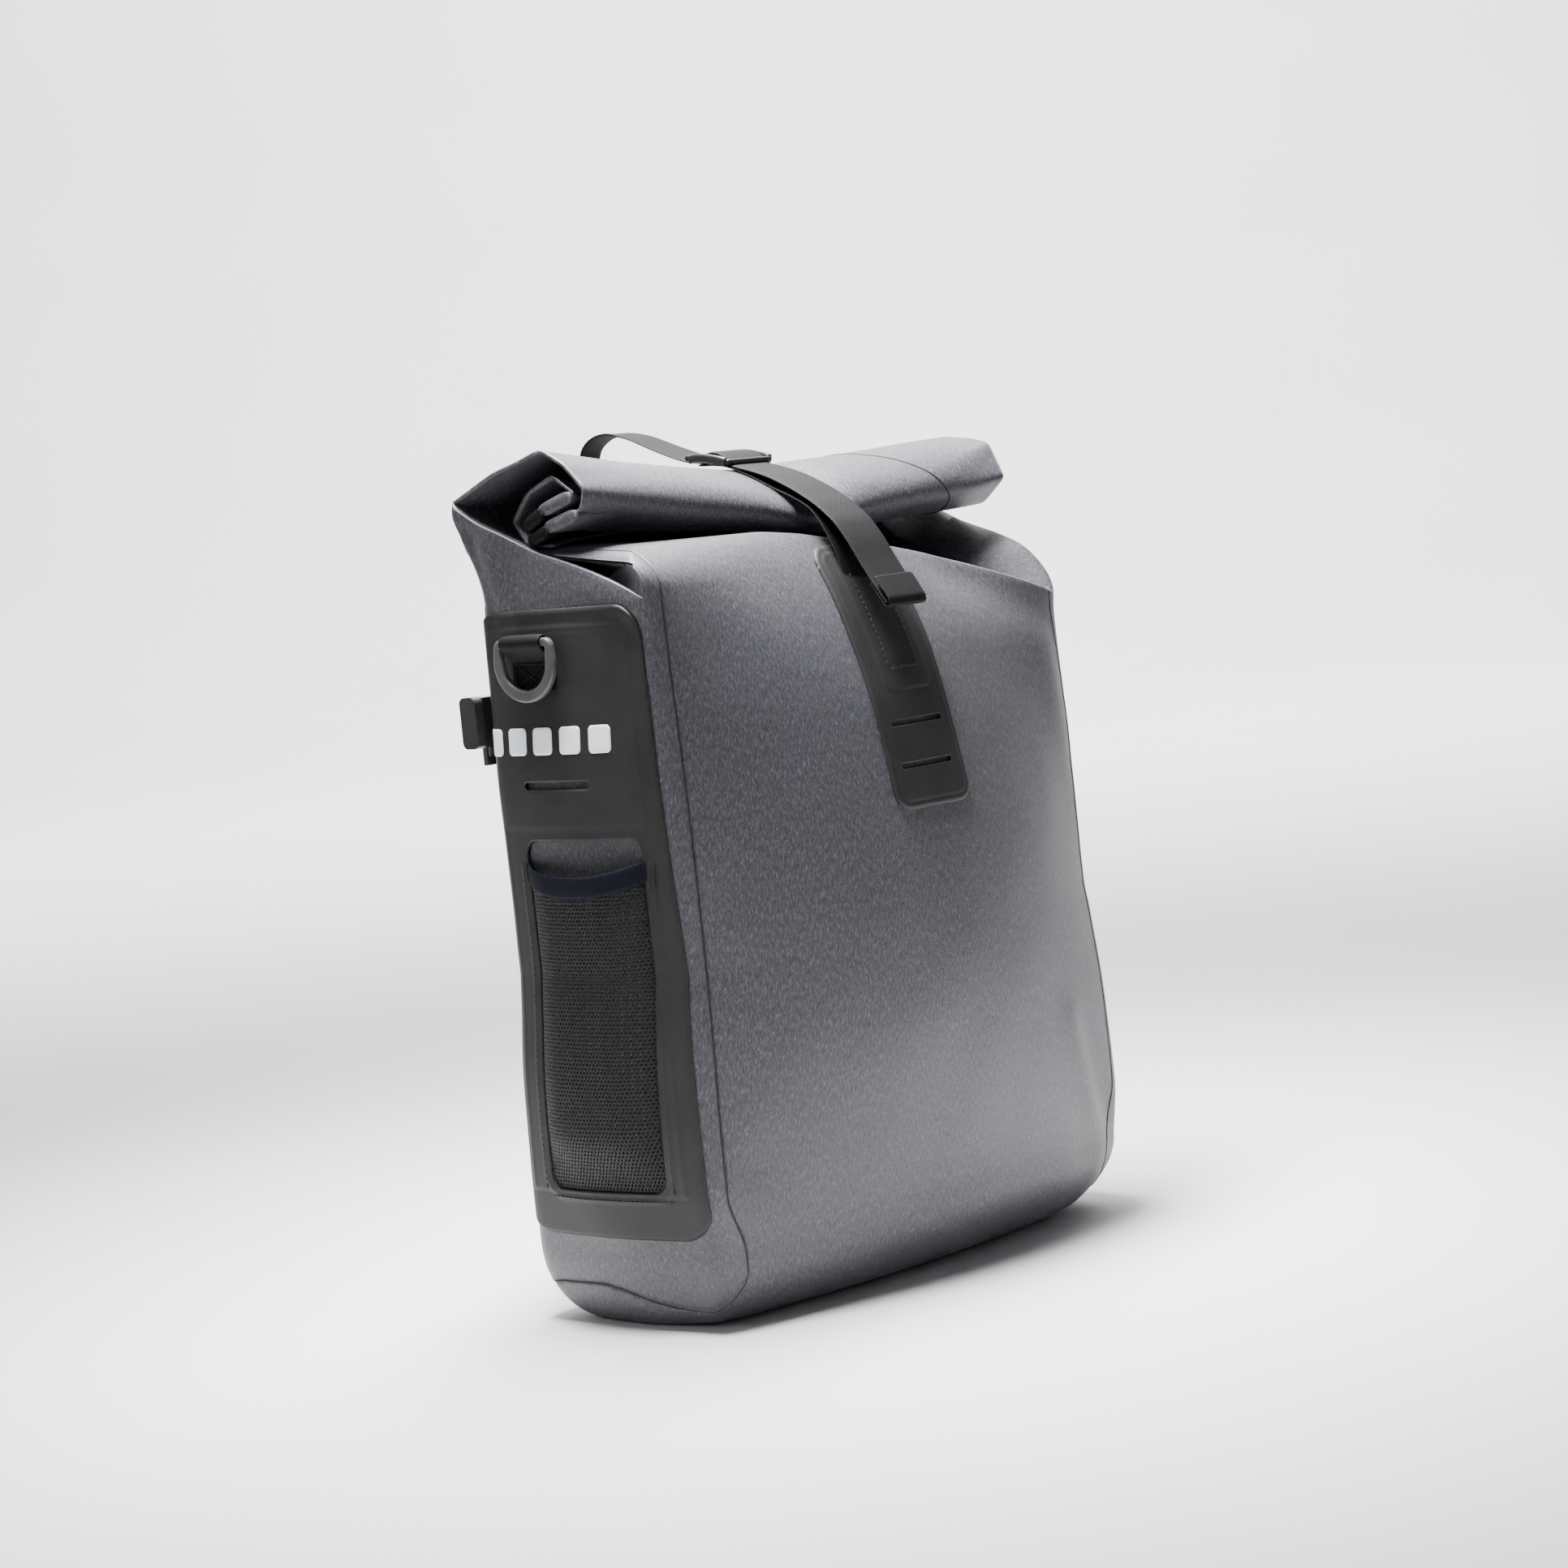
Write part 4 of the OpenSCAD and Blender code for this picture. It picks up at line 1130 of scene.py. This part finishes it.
def right_patch_distance(p):
    """The right patch stops short of its front corner, with a larger radius at the top."""
    top = rounded_box(p, -60.0, 43.5, PATCH_FOOT_Z - 141.0, PATCH_TOP_Z, 28.0)
    foot = rounded_box(p, -60.0, 43.5, PATCH_FOOT_Z, PATCH_TOP_Z + 100.0, PATCH_R)
    return np.maximum(patch_distance(p), np.maximum(top, foot))


def patch_lift(p, d):
    outline, z = patch_outline(p), p[:, 1]
    rise = 0.6 + 0.9 * ease(-outline / 1.1)
    line = 0.55 * bump(outline, -PATCH_LINE, 1.0) + 0.25 * ease((-outline - PATCH_LINE) / 1.2)
    frame_line = 0.55 * bump(rounded_box(p, *WINDOW, WINDOW_R), 3.6, 1.1) * (z < 205)
    panel = 0.35 * ease((z - 218.0) / 4.0) * ease((-outline - 9.0) / 2.0)
    return rise + line * (z > 60) + frame_line + panel


for (side, sign), shape in zip(SIDES, (patch_distance, right_patch_distance)):
    patch = cut_sheet("rubber_patch_" + side, shape, side_map[side].at, patch_lift, RUBBER,
                      bounds=(-57, 60, 39, 317), cell=0.95, thick=1.3, flip=sign > 0)
    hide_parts("side_patch_" + side)


def stitch_line(path, normals, pitch, length, radius):
    """Single stitches laid along a path, each a short bowed thread."""
    run = running(path)
    bow = np.sin(np.linspace(0, math.pi, 5))[:, None] * radius * 0.9
    parts = []
    at = pitch / 2
    while at + length < run[-1]:
        s = np.linspace(at, at + length, 5)
        p = read(s, run, path.T) + read(s, run, normals.T) * (bow - radius * 0.3)
        parts.append(tube(p, radius, 5))
        at += pitch
    return parts


def sewn(place, lines, lift, pitch, length, radius):
    """Stitches along straight lines, each from one point to another, on a surface."""
    parts = []
    for line in lines:
        flat = resample(line, 24)
        base, above = (place(flat[:, 0], flat[:, 1], np.full(24, lift + up)) for up in (0.0, 1.0))
        parts += stitch_line(base, above - base, pitch, length, radius)
    return parts


def stitching(name, parts):
    ob = mesh(name, *join(parts), THREAD)


def sewn_box(x0, x1, z0, z1):
    """The four sides of a sewn box, walked round, and one diagonal."""
    corners = [(x0, z0), (x1, z0), (x1, z1), (x0, z1)]
    return [(corners[a], corners[b]) for a, b in ((0, 1), (1, 2), (2, 3), (3, 0), (0, 2))]


for side, sign in SIDES:
    place = side_map[side].at
    a0, a1, z0, _ = WINDOW
    frame_lines = [[(a1 + 3.6, 203), (a1 + 3.6, z0 - 3.0)], [(a1 + 3.6, z0 - 3.6), (a0 - 2, z0 - 3.6)],
                   [(a0 - 3.6, z0 - 2), (a0 - 3.6, 203)]]
    bartack = [[(a, 203), (a, 192)] for a in (a1 + 3.0, a1 + 5.0)]
    stitching("pocket_stitching_" + side,
              sewn(place, frame_lines, lift=2.1, pitch=3.0, length=2.1, radius=0.28)
              + sewn(place, bartack, lift=2.3, pitch=1.3, length=1.1, radius=0.35))

# ------------------------------------------------------------------ mesh pockets
POCKET_TOP = 197.5             # the net's upper edge at the pocket's two sides
POCKET_MID = (WINDOW[0] + WINDOW[1]) / 2
POCKET_HALF = (WINDOW[1] - WINDOW[0]) / 2
NET_PITCH = (1.9, 1.7)         # between cells, forward and up


def pocket_lift(a, z):
    across = 1 - np.abs((a - POCKET_MID) / (POCKET_HALF - 0.5)) ** 4
    return 0.7 + 6.3 * np.maximum(across, 0) * ease((z - WINDOW[2]) / 26.0)


def dip(a):
    """How far the pocket's upper edge hangs below its two sides."""
    return 5.5 * (1 - np.abs((a - POCKET_MID) / POCKET_HALF) ** 2.2)


def hex_net(side, sign):
    """Netting: hexagonal cells with sheared holes, laid on the pocket's bulge."""
    pitch_a, pitch_z = NET_PITCH
    rx, rz = pitch_a / math.sqrt(3), pitch_z / 1.5
    a0, a1, z0, _ = WINDOW
    verts, faces, seen = [], [], {}

    def vertex(a, z):
        key = (round(a * 50), round(z * 50))
        if key not in seen:
            seen[key] = len(verts)
            verts.append((a, z))
        return seen[key]
    angles = [math.radians(30 + 60 * k) for k in range(6)]
    shape = [(math.cos(angle), math.sin(angle)) for angle in angles]
    for i in range(int((POCKET_TOP - z0) / pitch_z)):
        for j in range(int((a1 - a0 + 2) / pitch_a)):
            a = a0 + (j + 0.5 * (i % 2)) * pitch_a
            z = z0 + i * pitch_z
            if z > POCKET_TOP - dip(a) - 1 or a > a1 + 0.6:
                continue
            outer = [vertex(a + rx * c, z + rz * s) for c, s in shape]
            inner = [vertex(a + 0.46 * rx * c + 0.22 * s * rz, z + 0.52 * rz * s) for c, s in shape]
            faces += [(outer[k - 1], outer[k], inner[k], inner[k - 1]) for k in (1, 2, 3, 4, 5, 0)]
    flat = np.array(verts)
    flat[:, 0] = np.clip(flat[:, 0], a0 - 1.5, a1 + 1.5)
    a, z = flat.T
    if sign > 0:
        faces = [f[::-1] for f in faces]
    ob = mesh("pocket_net_" + side, side_map[side].at(a, z, pocket_lift(a, z)), faces, NET, uv=flat)
    add_thickness(ob, 0.55, 0.0)
    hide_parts("mesh_pocket_" + side)


def binding(side, sign):
    """The elastic along the pocket's upper edge: a flat ribbed bar."""
    n_a, n_k = 220, 24
    flat = []
    for a in np.linspace(WINDOW[0] - 1.0, WINDOW[1] + 1.0, n_a):
        rib = 1.0 + 0.05 * math.sin(a * 2 * math.pi / 1.25)
        for k in range(n_k):
            c, s = squircle(2 * math.pi * k / n_k, (0.8, 0.6))
            lift = pocket_lift(a, POCKET_TOP) + 0.6 + 0.95 * rib * c
            flat.append((a, POCKET_TOP + 3.0 - dip(a) + 4.6 * s, lift))
    a, z, lift = np.array(flat).T
    faces = rod_faces(n_a, n_k)
    if sign < 0:
        faces = [f[::-1] for f in faces]
    ob = mesh("pocket_elastic_" + side, side_map[side].at(a, z, lift), faces, ELASTIC,
              uv=np.column_stack([a, z]))
    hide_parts("pocket_binding_" + side)


def reflector_distance(p):
    """Five squares in a row, the middle one a little behind the gusset's middle line."""
    squares = [-12.3 + 16.7 * k for k in (-2, -1, 0, 1, 2)]
    return np.min([rounded_box(p, x - 6, x + 6, 252, 264, 2.2) for x in squares], axis=0)


def reflector_lift(p, d):
    return patch_lift(p, d) + 0.45 - 0.2 * (1 - ease(-d / 0.8))


def reflector_set(side, sign):
    ob = cut_sheet("reflective_squares_" + side, reflector_distance, side_map[side].at, reflector_lift, FILM,
                   bounds=(-54, 30, 250, 266), cell=0.75, thick=0.4, flip=sign > 0)
    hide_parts("reflectors_" + side)


for side, sign in SIDES:
    hex_net(side, sign)
    binding(side, sign)
    reflector_set(side, sign)

# ------------------------------------------------------------------ front strip
STRIP_Z0, STRIP_Z1 = strip_low[2], strip_high[2]
STRIP_HALF = (strip_high[0] - strip_low[0]) / 2
STRIP_SLOTS = [(-18.0, 16.0, 228.0, 230.6), (-18.0, 16.0, 247.0, 249.6)]


def strip_outline(p):
    q = p.copy()
    q[..., 0] /= 1.0 - 0.02 * ease((p[..., 1] - 285.0) / 44.0)
    return rounded_box(q, -STRIP_HALF, STRIP_HALF, STRIP_Z0, STRIP_Z1, 9.0)


def strip_distance(p):
    d = strip_outline(p)
    for s in STRIP_SLOTS:
        d = np.maximum(d, -rounded_box(p, *s, 1.2))
    return d


def strip_lift(p, d):
    out = strip_outline(p)
    ridge = 0.40 * bump(out, -4.5, 0.7) + 0.20 * ease((-out - 4.5) / 1.0)
    raised = 0.4 * ease((-rounded_box(p, -15.5, 15.5, 262, 335, 4)) / 1.2)
    return 0.7 + 0.9 * ease(-out / 1.5) + ridge + raised


strip = cut_sheet("front_rubber_strip", strip_distance, front_map.at, strip_lift, RUBBER,
                  bounds=(-27, 27, 208, 331), cell=0.7, thick=1.4)
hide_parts("front_strip")

corners = [(-9.4, 316), (-9.4, 272), (9.4, 272), (9.4, 316)]
stitching("strip_stitching", sewn(front_map.at, zip(corners[:-1], corners[1:]),
                                  lift=2.75, pitch=2.9, length=2.1, radius=0.26))


# ------------------------------------------------------------------ webbing
def webbing(name, path, width, thick, across=None):
    """Woven strap along a path of points; across gives the width direction at each point."""
    pick_length = 1.6          # along the strap, for one pick of the weave, in four steps
    cols = 49
    n = int(running(path)[-1] / pick_length * 4) + 1
    line = resample(path, n)
    tangent = unit(np.gradient(line, axis=0))
    side = np.repeat([[1.0, 0.0, 0.0]], n, 0) if across is None else resample(across, n)
    side = unit(side - (side * tangent).sum(1)[:, None] * tangent)
    up = np.cross(side, tangent)
    verts, uv = [], []
    for i in range(n):
        row = 0.5 + 0.5 * math.cos(2 * math.pi * i / 4)
        for face in (1, -1):
            for k, c in enumerate(np.linspace(-face, face, cols)):
                strand = 0.5 + 0.5 * math.cos(k * 2 * math.pi / 3)
                relief = 0.42 * (row * strand + (1 - row) * (1 - strand))
                half = thick / 2 * (1 - abs(c) ** 8 * 0.55) - 0.34 + relief
                verts.append(line[i] + side[i] * c * width / 2 + up[i] * face * half)
                uv.append((c * width / 2 + 30 * face, i * pick_length / 4))
    ob = mesh(name, verts, rod_faces(n, 2 * cols), WEBBING, uv=uv)
    return ob


def in_plane(points, n, sigma):
    """A smooth path at the bag's middle, through (y, z) points."""
    return np.column_stack([np.zeros(n), smooth_line(points, n, sigma)])


def front_point(z, lift):
    return tuple(front_map.at([0.0], [z], [lift])[0][1:])


closure_pts = [front_point(306, 0.4), front_point(312, 1.0), front_point(317, 3.0),
               (-47.5, 328.5), (-42.2, 338.3), (-35.6, 347.2), (-25, 352.8), (-13.5, 357.6),
               (0, 364.4), (14, 369.8), (24, 371.0), (31, 371.2)]
closure = webbing("closure_webbing", in_plane(closure_pts, 200, 3.5), WEBBING_W, 1.5)
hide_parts("closure_strap")
tail_pts = [(19, 372.2), (12, 369.6), (-3, 365.6), (-12, 362.6), (-26, 356.0), (-38.5, 348.6),
            (-48.8, 340.3), (-56, 331), (-62.5, 320.5), (-69, 311), (-74.4, 303.6), (-75.7, 301.9)]
tail = webbing("tail_webbing", in_plane(tail_pts, 200, 3.0), WEBBING_W, 1.6)
fold_pts = [(-67.6, 311.2), (-73.0, 303.2), (-75.2, 300.4), (-77.6, 300.9), (-77.3, 304.0),
            (-72.5, 311.0), (-70.4, 314.0)]
webbing("tail_end_fold", in_plane(fold_pts, 80, 0.7), WEBBING_W, 1.5)
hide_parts("strap_tail")


# The back strap: from the buckle in an arch behind the roll, twisting, down to its anchor patch.
carry_pts = [(0, 24, 372.4), (0, 32, 372.0), (-1, 40, 373.4), (-3, 48, 376.5), (-6, 58, 381),
             (-12, 70, 388), (-18.5, 80, 390.5), (-26, 87, 385), (-28, 88.5, 371), (-23, 85, 353),
             (-14, 76, 335), (-4, 65.5, 316), (0, 61, 301), (0, 59.6, 286)]
carry_turn = [(1, 0, 0), (1, 0, 0), (1, .2, 0), (.92, .4, 0), (.88, .47, 0), (.88, .47, 0),
              (.93, .36, 0), (1, .1, 0), (1, 0, 0), (1, 0, 0), (1, 0, 0)]
carry = webbing("carry_webbing", smooth_line(carry_pts, 260, 5.0), WEBBING_W, 1.5, carry_turn)
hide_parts("carry_strap")


# ------------------------------------------------------------------ buckle
def rounded_bar(points, n, sigma, w, h, r):
    """Level bar with a rounded rectangular section along a smooth path."""
    path = smooth_line(points, n, sigma)
    loop = []
    for cx, cy, start in ((1, 1, 0), (-1, 1, 90), (-1, -1, 180), (1, -1, 270)):
        for k in range(5):
            a = math.radians(start + 22.5 * k)
            loop.append((cx * (w / 2 - r) + r * math.cos(a), cy * (h / 2 - r) + r * math.sin(a)))
    loop = np.array(loop)
    verts = []
    for point, ahead in zip(path, unit(np.gradient(path, axis=0))):
        side = unit(np.cross(ahead, (0.0, 0.0, 1.0)))
        verts.append(point + loop[:, :1] * side + loop[:, 1:] * np.cross(side, ahead))
    return np.concatenate(verts), rod_faces(n, len(loop))


def buckle():
    """Ladder buckle lying on the roll: two rails, four bars and two short horns at its rear."""
    centre = np.array([0.0, 22.0, 373.0])
    c, s = math.cos(math.radians(3.0)), math.sin(math.radians(3.0))
    tilt = np.array([[1, 0, 0], [0, c, -s], [0, s, c]])
    parts = []
    for x in (-1, 1):
        rail = [(x * 14.6, -10.8, -1.2), (x * 15.2, -7, -0.2), (x * 15.6, 0, 0.9), (x * 15.2, 7, 1.2),
                (x * 13.9, 12.4, 0.6)]
        parts.append(rounded_bar(rail, 28, 1.5, 2.8, 4.2, 1.2))
    for y, z, w, h, x in ((-10.6, -1.2, 3.2, 2.6, 14.8), (-2.5, 0.9, 2.6, 2.2, 15.4),
                          (4.0, 0.2, 2.6, 2.2, 15.4), (12.0, 0.8, 3.4, 2.4, 14.0)):
        parts.append(rounded_bar([(-x, y, z), (x, y, z)], 16, 1.5, w, h, 1.0))
    for x in (-1, 1):
        horn = [(x * 11.6, 8, 1.4), (x * 12.0, 13, 2.0), (x * 11.2, 17.0, 1.4)]
        parts.append(rounded_bar(horn, 12, 1.0, 2.6, 2.0, 0.9))
    v, f = join(parts)
    ob = mesh("ladder_buckle", v @ tilt.T + centre, f, BUCKLE)
    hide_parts("buckle")
    # The webbing's turn over the buckle's middle bars.
    path = [(14, 369.9), (19, 371.6), (25.0, 371.9), (28.4, 373.4), (27.6, 375.6), (23.5, 376.4),
            (18, 375.6), (13.5, 373.0), (10, 370.2)]
    webbing("buckle_webbing", in_plane(path, 110, 1.2), 24.6, 1.4)


buckle()


def anchor():
    """The rubber patch that holds the back strap's lower end, and the sewn box on it."""
    low, high = box_mm("strap_anchor")
    x0, z0, x1, z1 = low[0], low[2], high[0], high[2]

    def distance(p):
        return rounded_box(p, x0, x1, z0, z1, 8.0)

    def on_back(x, z, lift):
        return np.column_stack([x, BACK_Y + 0.1 + lift, z])

    def on_strap(x, z, lift):
        return np.column_stack([x, np.interp(z, [286.0, 301.0], [60.6, 62.0]) + lift, z])

    def height(p, d):
        return 0.2 + 1.1 * ease(-d / 2.0) + 0.3 * bump(d, -4.5, 0.9)
    ob = cut_sheet("strap_anchor_patch", distance, on_back, height, RUBBER,
                   bounds=(x0 - 2, x1 + 2, z0 - 2, z1 + 2), cell=1.4, thick=1.2, flip=True)
    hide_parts("strap_anchor")
    box = sewn_box(-10.5, 10.5, 284, 300) + [((10.5, 284), (-10.5, 300))]
    stitching("anchor_stitching", sewn(on_strap, box, lift=0.0, pitch=2.6, length=1.9, radius=0.3))


anchor()


# ------------------------------------------------------------------ D-rings and their loops
RING_Y, RING_Z = 14.0, 301.0
RING_X = float(abs(box_mm("ring_loop_left")[0][0]) - 3.8)


def d_ring(side, sign):
    """The ring's straight bar lies in the webbing; its bow hangs below, thicker than the bar."""
    x, half, drop = sign * RING_X, 16.2, 8.0
    legs = [(-half, -1), (-half, -drop / 2), (-half, -drop)]
    bow = [(-half * math.cos(a), -drop - half * 0.92 * math.sin(a))
           for a in np.linspace(0.12, math.pi - 0.12, 26)]
    back = [(half, -drop), (half, -drop / 2), (half, -1), (half - 1.2, 0.6)]
    bar = [(half * t, 0.4) for t in (0.6, 0.2, -0.2, -0.6)] + [(1.2 - half, 0.6)]
    points = [(x, RING_Y + y, RING_Z + z) for y, z in legs + bow + back + bar + legs[:1]]
    line = blur(resample(points, 161)[:-1], 1.6, closed=True)
    up = np.array([1.0, 0.0, 0.0])
    out = unit(np.cross(unit(np.roll(line, -1, 0) - np.roll(line, 1, 0)), up))
    thicker = clamp01((RING_Z - 2.5 - line[:, 2]) / 5.0)
    n = 20
    verts = []
    for point, aside, more in zip(line, out, thicker):
        for k in range(n):
            c, s = squircle(2 * math.pi * k / n, (0.55, 0.55))
            verts.append(point + aside * c * (1.9 + 0.75 * more) + up * s * 1.75)
    faces = grid_faces(len(line), n, ring=True, loop=True)
    ob = mesh("d_ring_moulded_" + side, verts, faces, RING, body="ring_" + side)
    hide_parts("d_ring_" + side)


def ring_loop(side, sign):
    """The webbing folded round the ring's bar, with both its layers sewn to the patch."""
    place = side_map[side].at
    high, low = (place([-RING_Y], [RING_Z - down], [3.0])[0] for down in (1.5, 21.0))
    x_high, x_low = abs(high[0]), abs(low[0])
    turn = [math.radians(-62 + 30 * k) for k in range(9)]
    r = 3.1
    line = [(x_low + 1.2, low[2]), (x_high + 1.6, RING_Z - 8.0)]
    line += [(RING_X + r * math.cos(a), RING_Z + 0.4 + r * math.sin(a)) for a in turn]
    line += [(x_high + 0.2, RING_Z - 3.0), (x_high - 0.4, RING_Z - 9.0), (x_low - 0.3, low[2])]
    path = smooth_line([(sign * x, RING_Y, z) for x, z in line], 150, 0.8)
    ob = webbing("ring_webbing_" + side, path, WEBBING_W, 1.4, [(0.0, 1.0, 0.0)] * 2)
    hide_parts("ring_loop_" + side)
    x0, x1, z0, z1 = -RING_Y - 10.0, -RING_Y + 10.0, RING_Z - 20.0, RING_Z - 9.5
    box = sewn_box(x0, x1, z0, z1) + [((x0, z1), (x1, z0))]
    stitching("ring_stitching_" + side, sewn(place, box, lift=5.1, pitch=2.4, length=1.8, radius=0.3))


for side, sign in SIDES:
    d_ring(side, sign)
    ring_loop(side, sign)


# ------------------------------------------------------------------ seams of the shell
def seam_line(name, path, radius):
    mesh(name, *tube(path, radius, 6), THREAD)


def gusset_seam(sign):
    """The welded seam round a gusset: down the rear corner, along the bottom, up the front face."""
    f = np.concatenate([np.zeros(60), np.linspace(0, 1, 160)[1:], np.ones(80)])
    z = outline_floor(f)
    z[:60] = np.linspace(318, z[60], 60)
    col, rim = (LEFT_FRONT + WRAP, crest[WRAP]) if sign < 0 else (RIGHT_FRONT - WRAP, crest[-1 - WRAP])
    z[-80:] = np.linspace(z[-81], rim, 80)
    path = on_body(mirrored(gusset_columns(f, z), sign), z)
    over = tuck(np.array([float(col)]), np.array([rim]), inner_end[[col]])[:14, 0]
    return smooth_line(np.concatenate([path, over]), 460, 0.8)


for side, sign in SIDES:
    seam_line("gusset_seam_" + side, gusset_seam(sign), 0.32)
# The roll's seam, slanting across its right part.
down = np.linspace(0, 1, ROLL_ROWS)
u = blur(np.interp(down, [0, 0.15, 0.35, 0.55, 0.75, 1], [0.37, 0.40, 0.47, 0.60, 0.74, 0.80]), 5.0)
seam_line("roll_seam_right", pick(roll_grid, (1 - u) / 2 * (len(BACK) - 1), down * (ROLL_ROWS - 1)), 0.36)
seam_line("back_seam_bottom", on_body(BACK[::2], back_floor), 0.32)

# ------------------------------------------------------------------ hardware from the CAD
CAD_LOOKS = (
    (PLATE, "back_plate"),
    (RAIL, "mounting_rail lower_rail"),
    (HOOK, "rail_cap_left rail_cap_right hook_left hook_right lower_slider lower_hook"),
    (LINER, "hook_liner_left hook_liner_right"),
    (LATCH, "latch_left latch_right"),
    (STEEL, "rail_screws rail_nuts latch_pin_left latch_pin_right latch_spring_left "
            "latch_spring_right lower_rail_screws lower_rail_nuts lower_hook_washer"),
)
for look, nodes in CAD_LOOKS:
    for node in nodes.split():
        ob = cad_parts[node]
        if not ob.material_slots:
            ob.data.materials.append(look)
        for slot in ob.material_slots:
            slot.material = look


# ------------------------------------------------------------------ floor, light and camera
def backdrop():
    """A pale floor that sweeps up behind, as one curved sheet. Its sizes are in metres."""
    reach, wide, radius, top = 6.0, 9.0, 2.0, 7.0
    ahead = Vector((0.728, 0.685, 0.0)).normalized()
    side = Vector((ahead.y, -ahead.x, 0.0))
    profile = [(d, 0.0) for d in (-7.0, -3.0, 0.0, 3.0, reach - radius)]
    for k in range(1, 17):
        a = math.pi / 2 * k / 16
        profile.append((reach - radius + radius * math.sin(a), radius - radius * math.cos(a)))
    profile.append((reach, top))
    verts = [(ahead * d + side * float(s) + Vector((0, 0, z))) / MM
             for d, z in profile for s in np.linspace(-wide, wide, 13)]
    faces = [f[::-1] for f in grid_faces(len(profile), 13)]
    mesh("backdrop", verts, faces, floor_material(), body=None)


backdrop()


def area_light(name, place, target, size, power, spread=180.0):
    data = bpy.data.lights.new(name, "AREA")
    data.shape = "RECTANGLE"
    data.size, data.size_y = size
    data.energy = power
    data.spread = math.radians(spread)
    ob = bpy.data.objects.new(name, data)
    bpy.context.scene.collection.objects.link(ob)
    ob.location = place
    aim = Vector(target) - Vector(place)
    ob.rotation_euler = aim.to_track_quat("-Z", "Y").to_euler()


area_light("top", (-0.03, 0.06, 0.98), (0.0, 0.0, 0.3), size=(0.6, 0.2), power=17.0, spread=90.0)
area_light("left", (-1.3, 0.3, 0.9), (0.0, 0.0, 0.2), size=(0.6, 0.6), power=2.5)
area_light("backdrop_wash", (2.0, 1.4, 3.2), (3.6, 3.4, 0.6), size=(3.0, 2.0), power=620.0)

world = bpy.data.worlds.new("studio")
bpy.context.scene.world = world
world.use_nodes = True
sky = world.node_tree.nodes["Background"].inputs
sky["Color"].default_value = (0.93, 0.95, 1.0, 1.0)
sky["Strength"].default_value = 0.13


CAMERA_AT = (-1.22539, -1.14447, 0.35347)
CAMERA_TURN, CAMERA_DIP, CAMERA_ROLL = 46.74, 4.49, -5.67          # degrees
CAMERA_LENS = 83.85


def camera():
    """The photograph's viewpoint: off the bag's front left corner, just below its top."""
    turn, pitch, roll = (math.radians(a) for a in (CAMERA_TURN, CAMERA_DIP, CAMERA_ROLL))
    ahead = Vector((math.sin(turn) * math.cos(pitch), math.cos(turn) * math.cos(pitch), -math.sin(pitch)))
    right = Vector((math.cos(turn), -math.sin(turn), 0.0))
    up = right.cross(ahead)
    right_r = right * math.cos(roll) + up * math.sin(roll)
    up_r = up * math.cos(roll) - right * math.sin(roll)
    data = bpy.data.cameras.new("camera")
    data.sensor_width = 36.0
    data.lens = CAMERA_LENS
    data.clip_end = 60.0
    ob = bpy.data.objects.new("camera", data)
    bpy.context.scene.collection.objects.link(ob)
    turned = Matrix((right_r, up_r, -ahead)).transposed().to_4x4()
    ob.matrix_world = Matrix.Translation(CAMERA_AT) @ turned
    bpy.context.scene.camera = ob


camera()

bpy.context.view_layer.update()
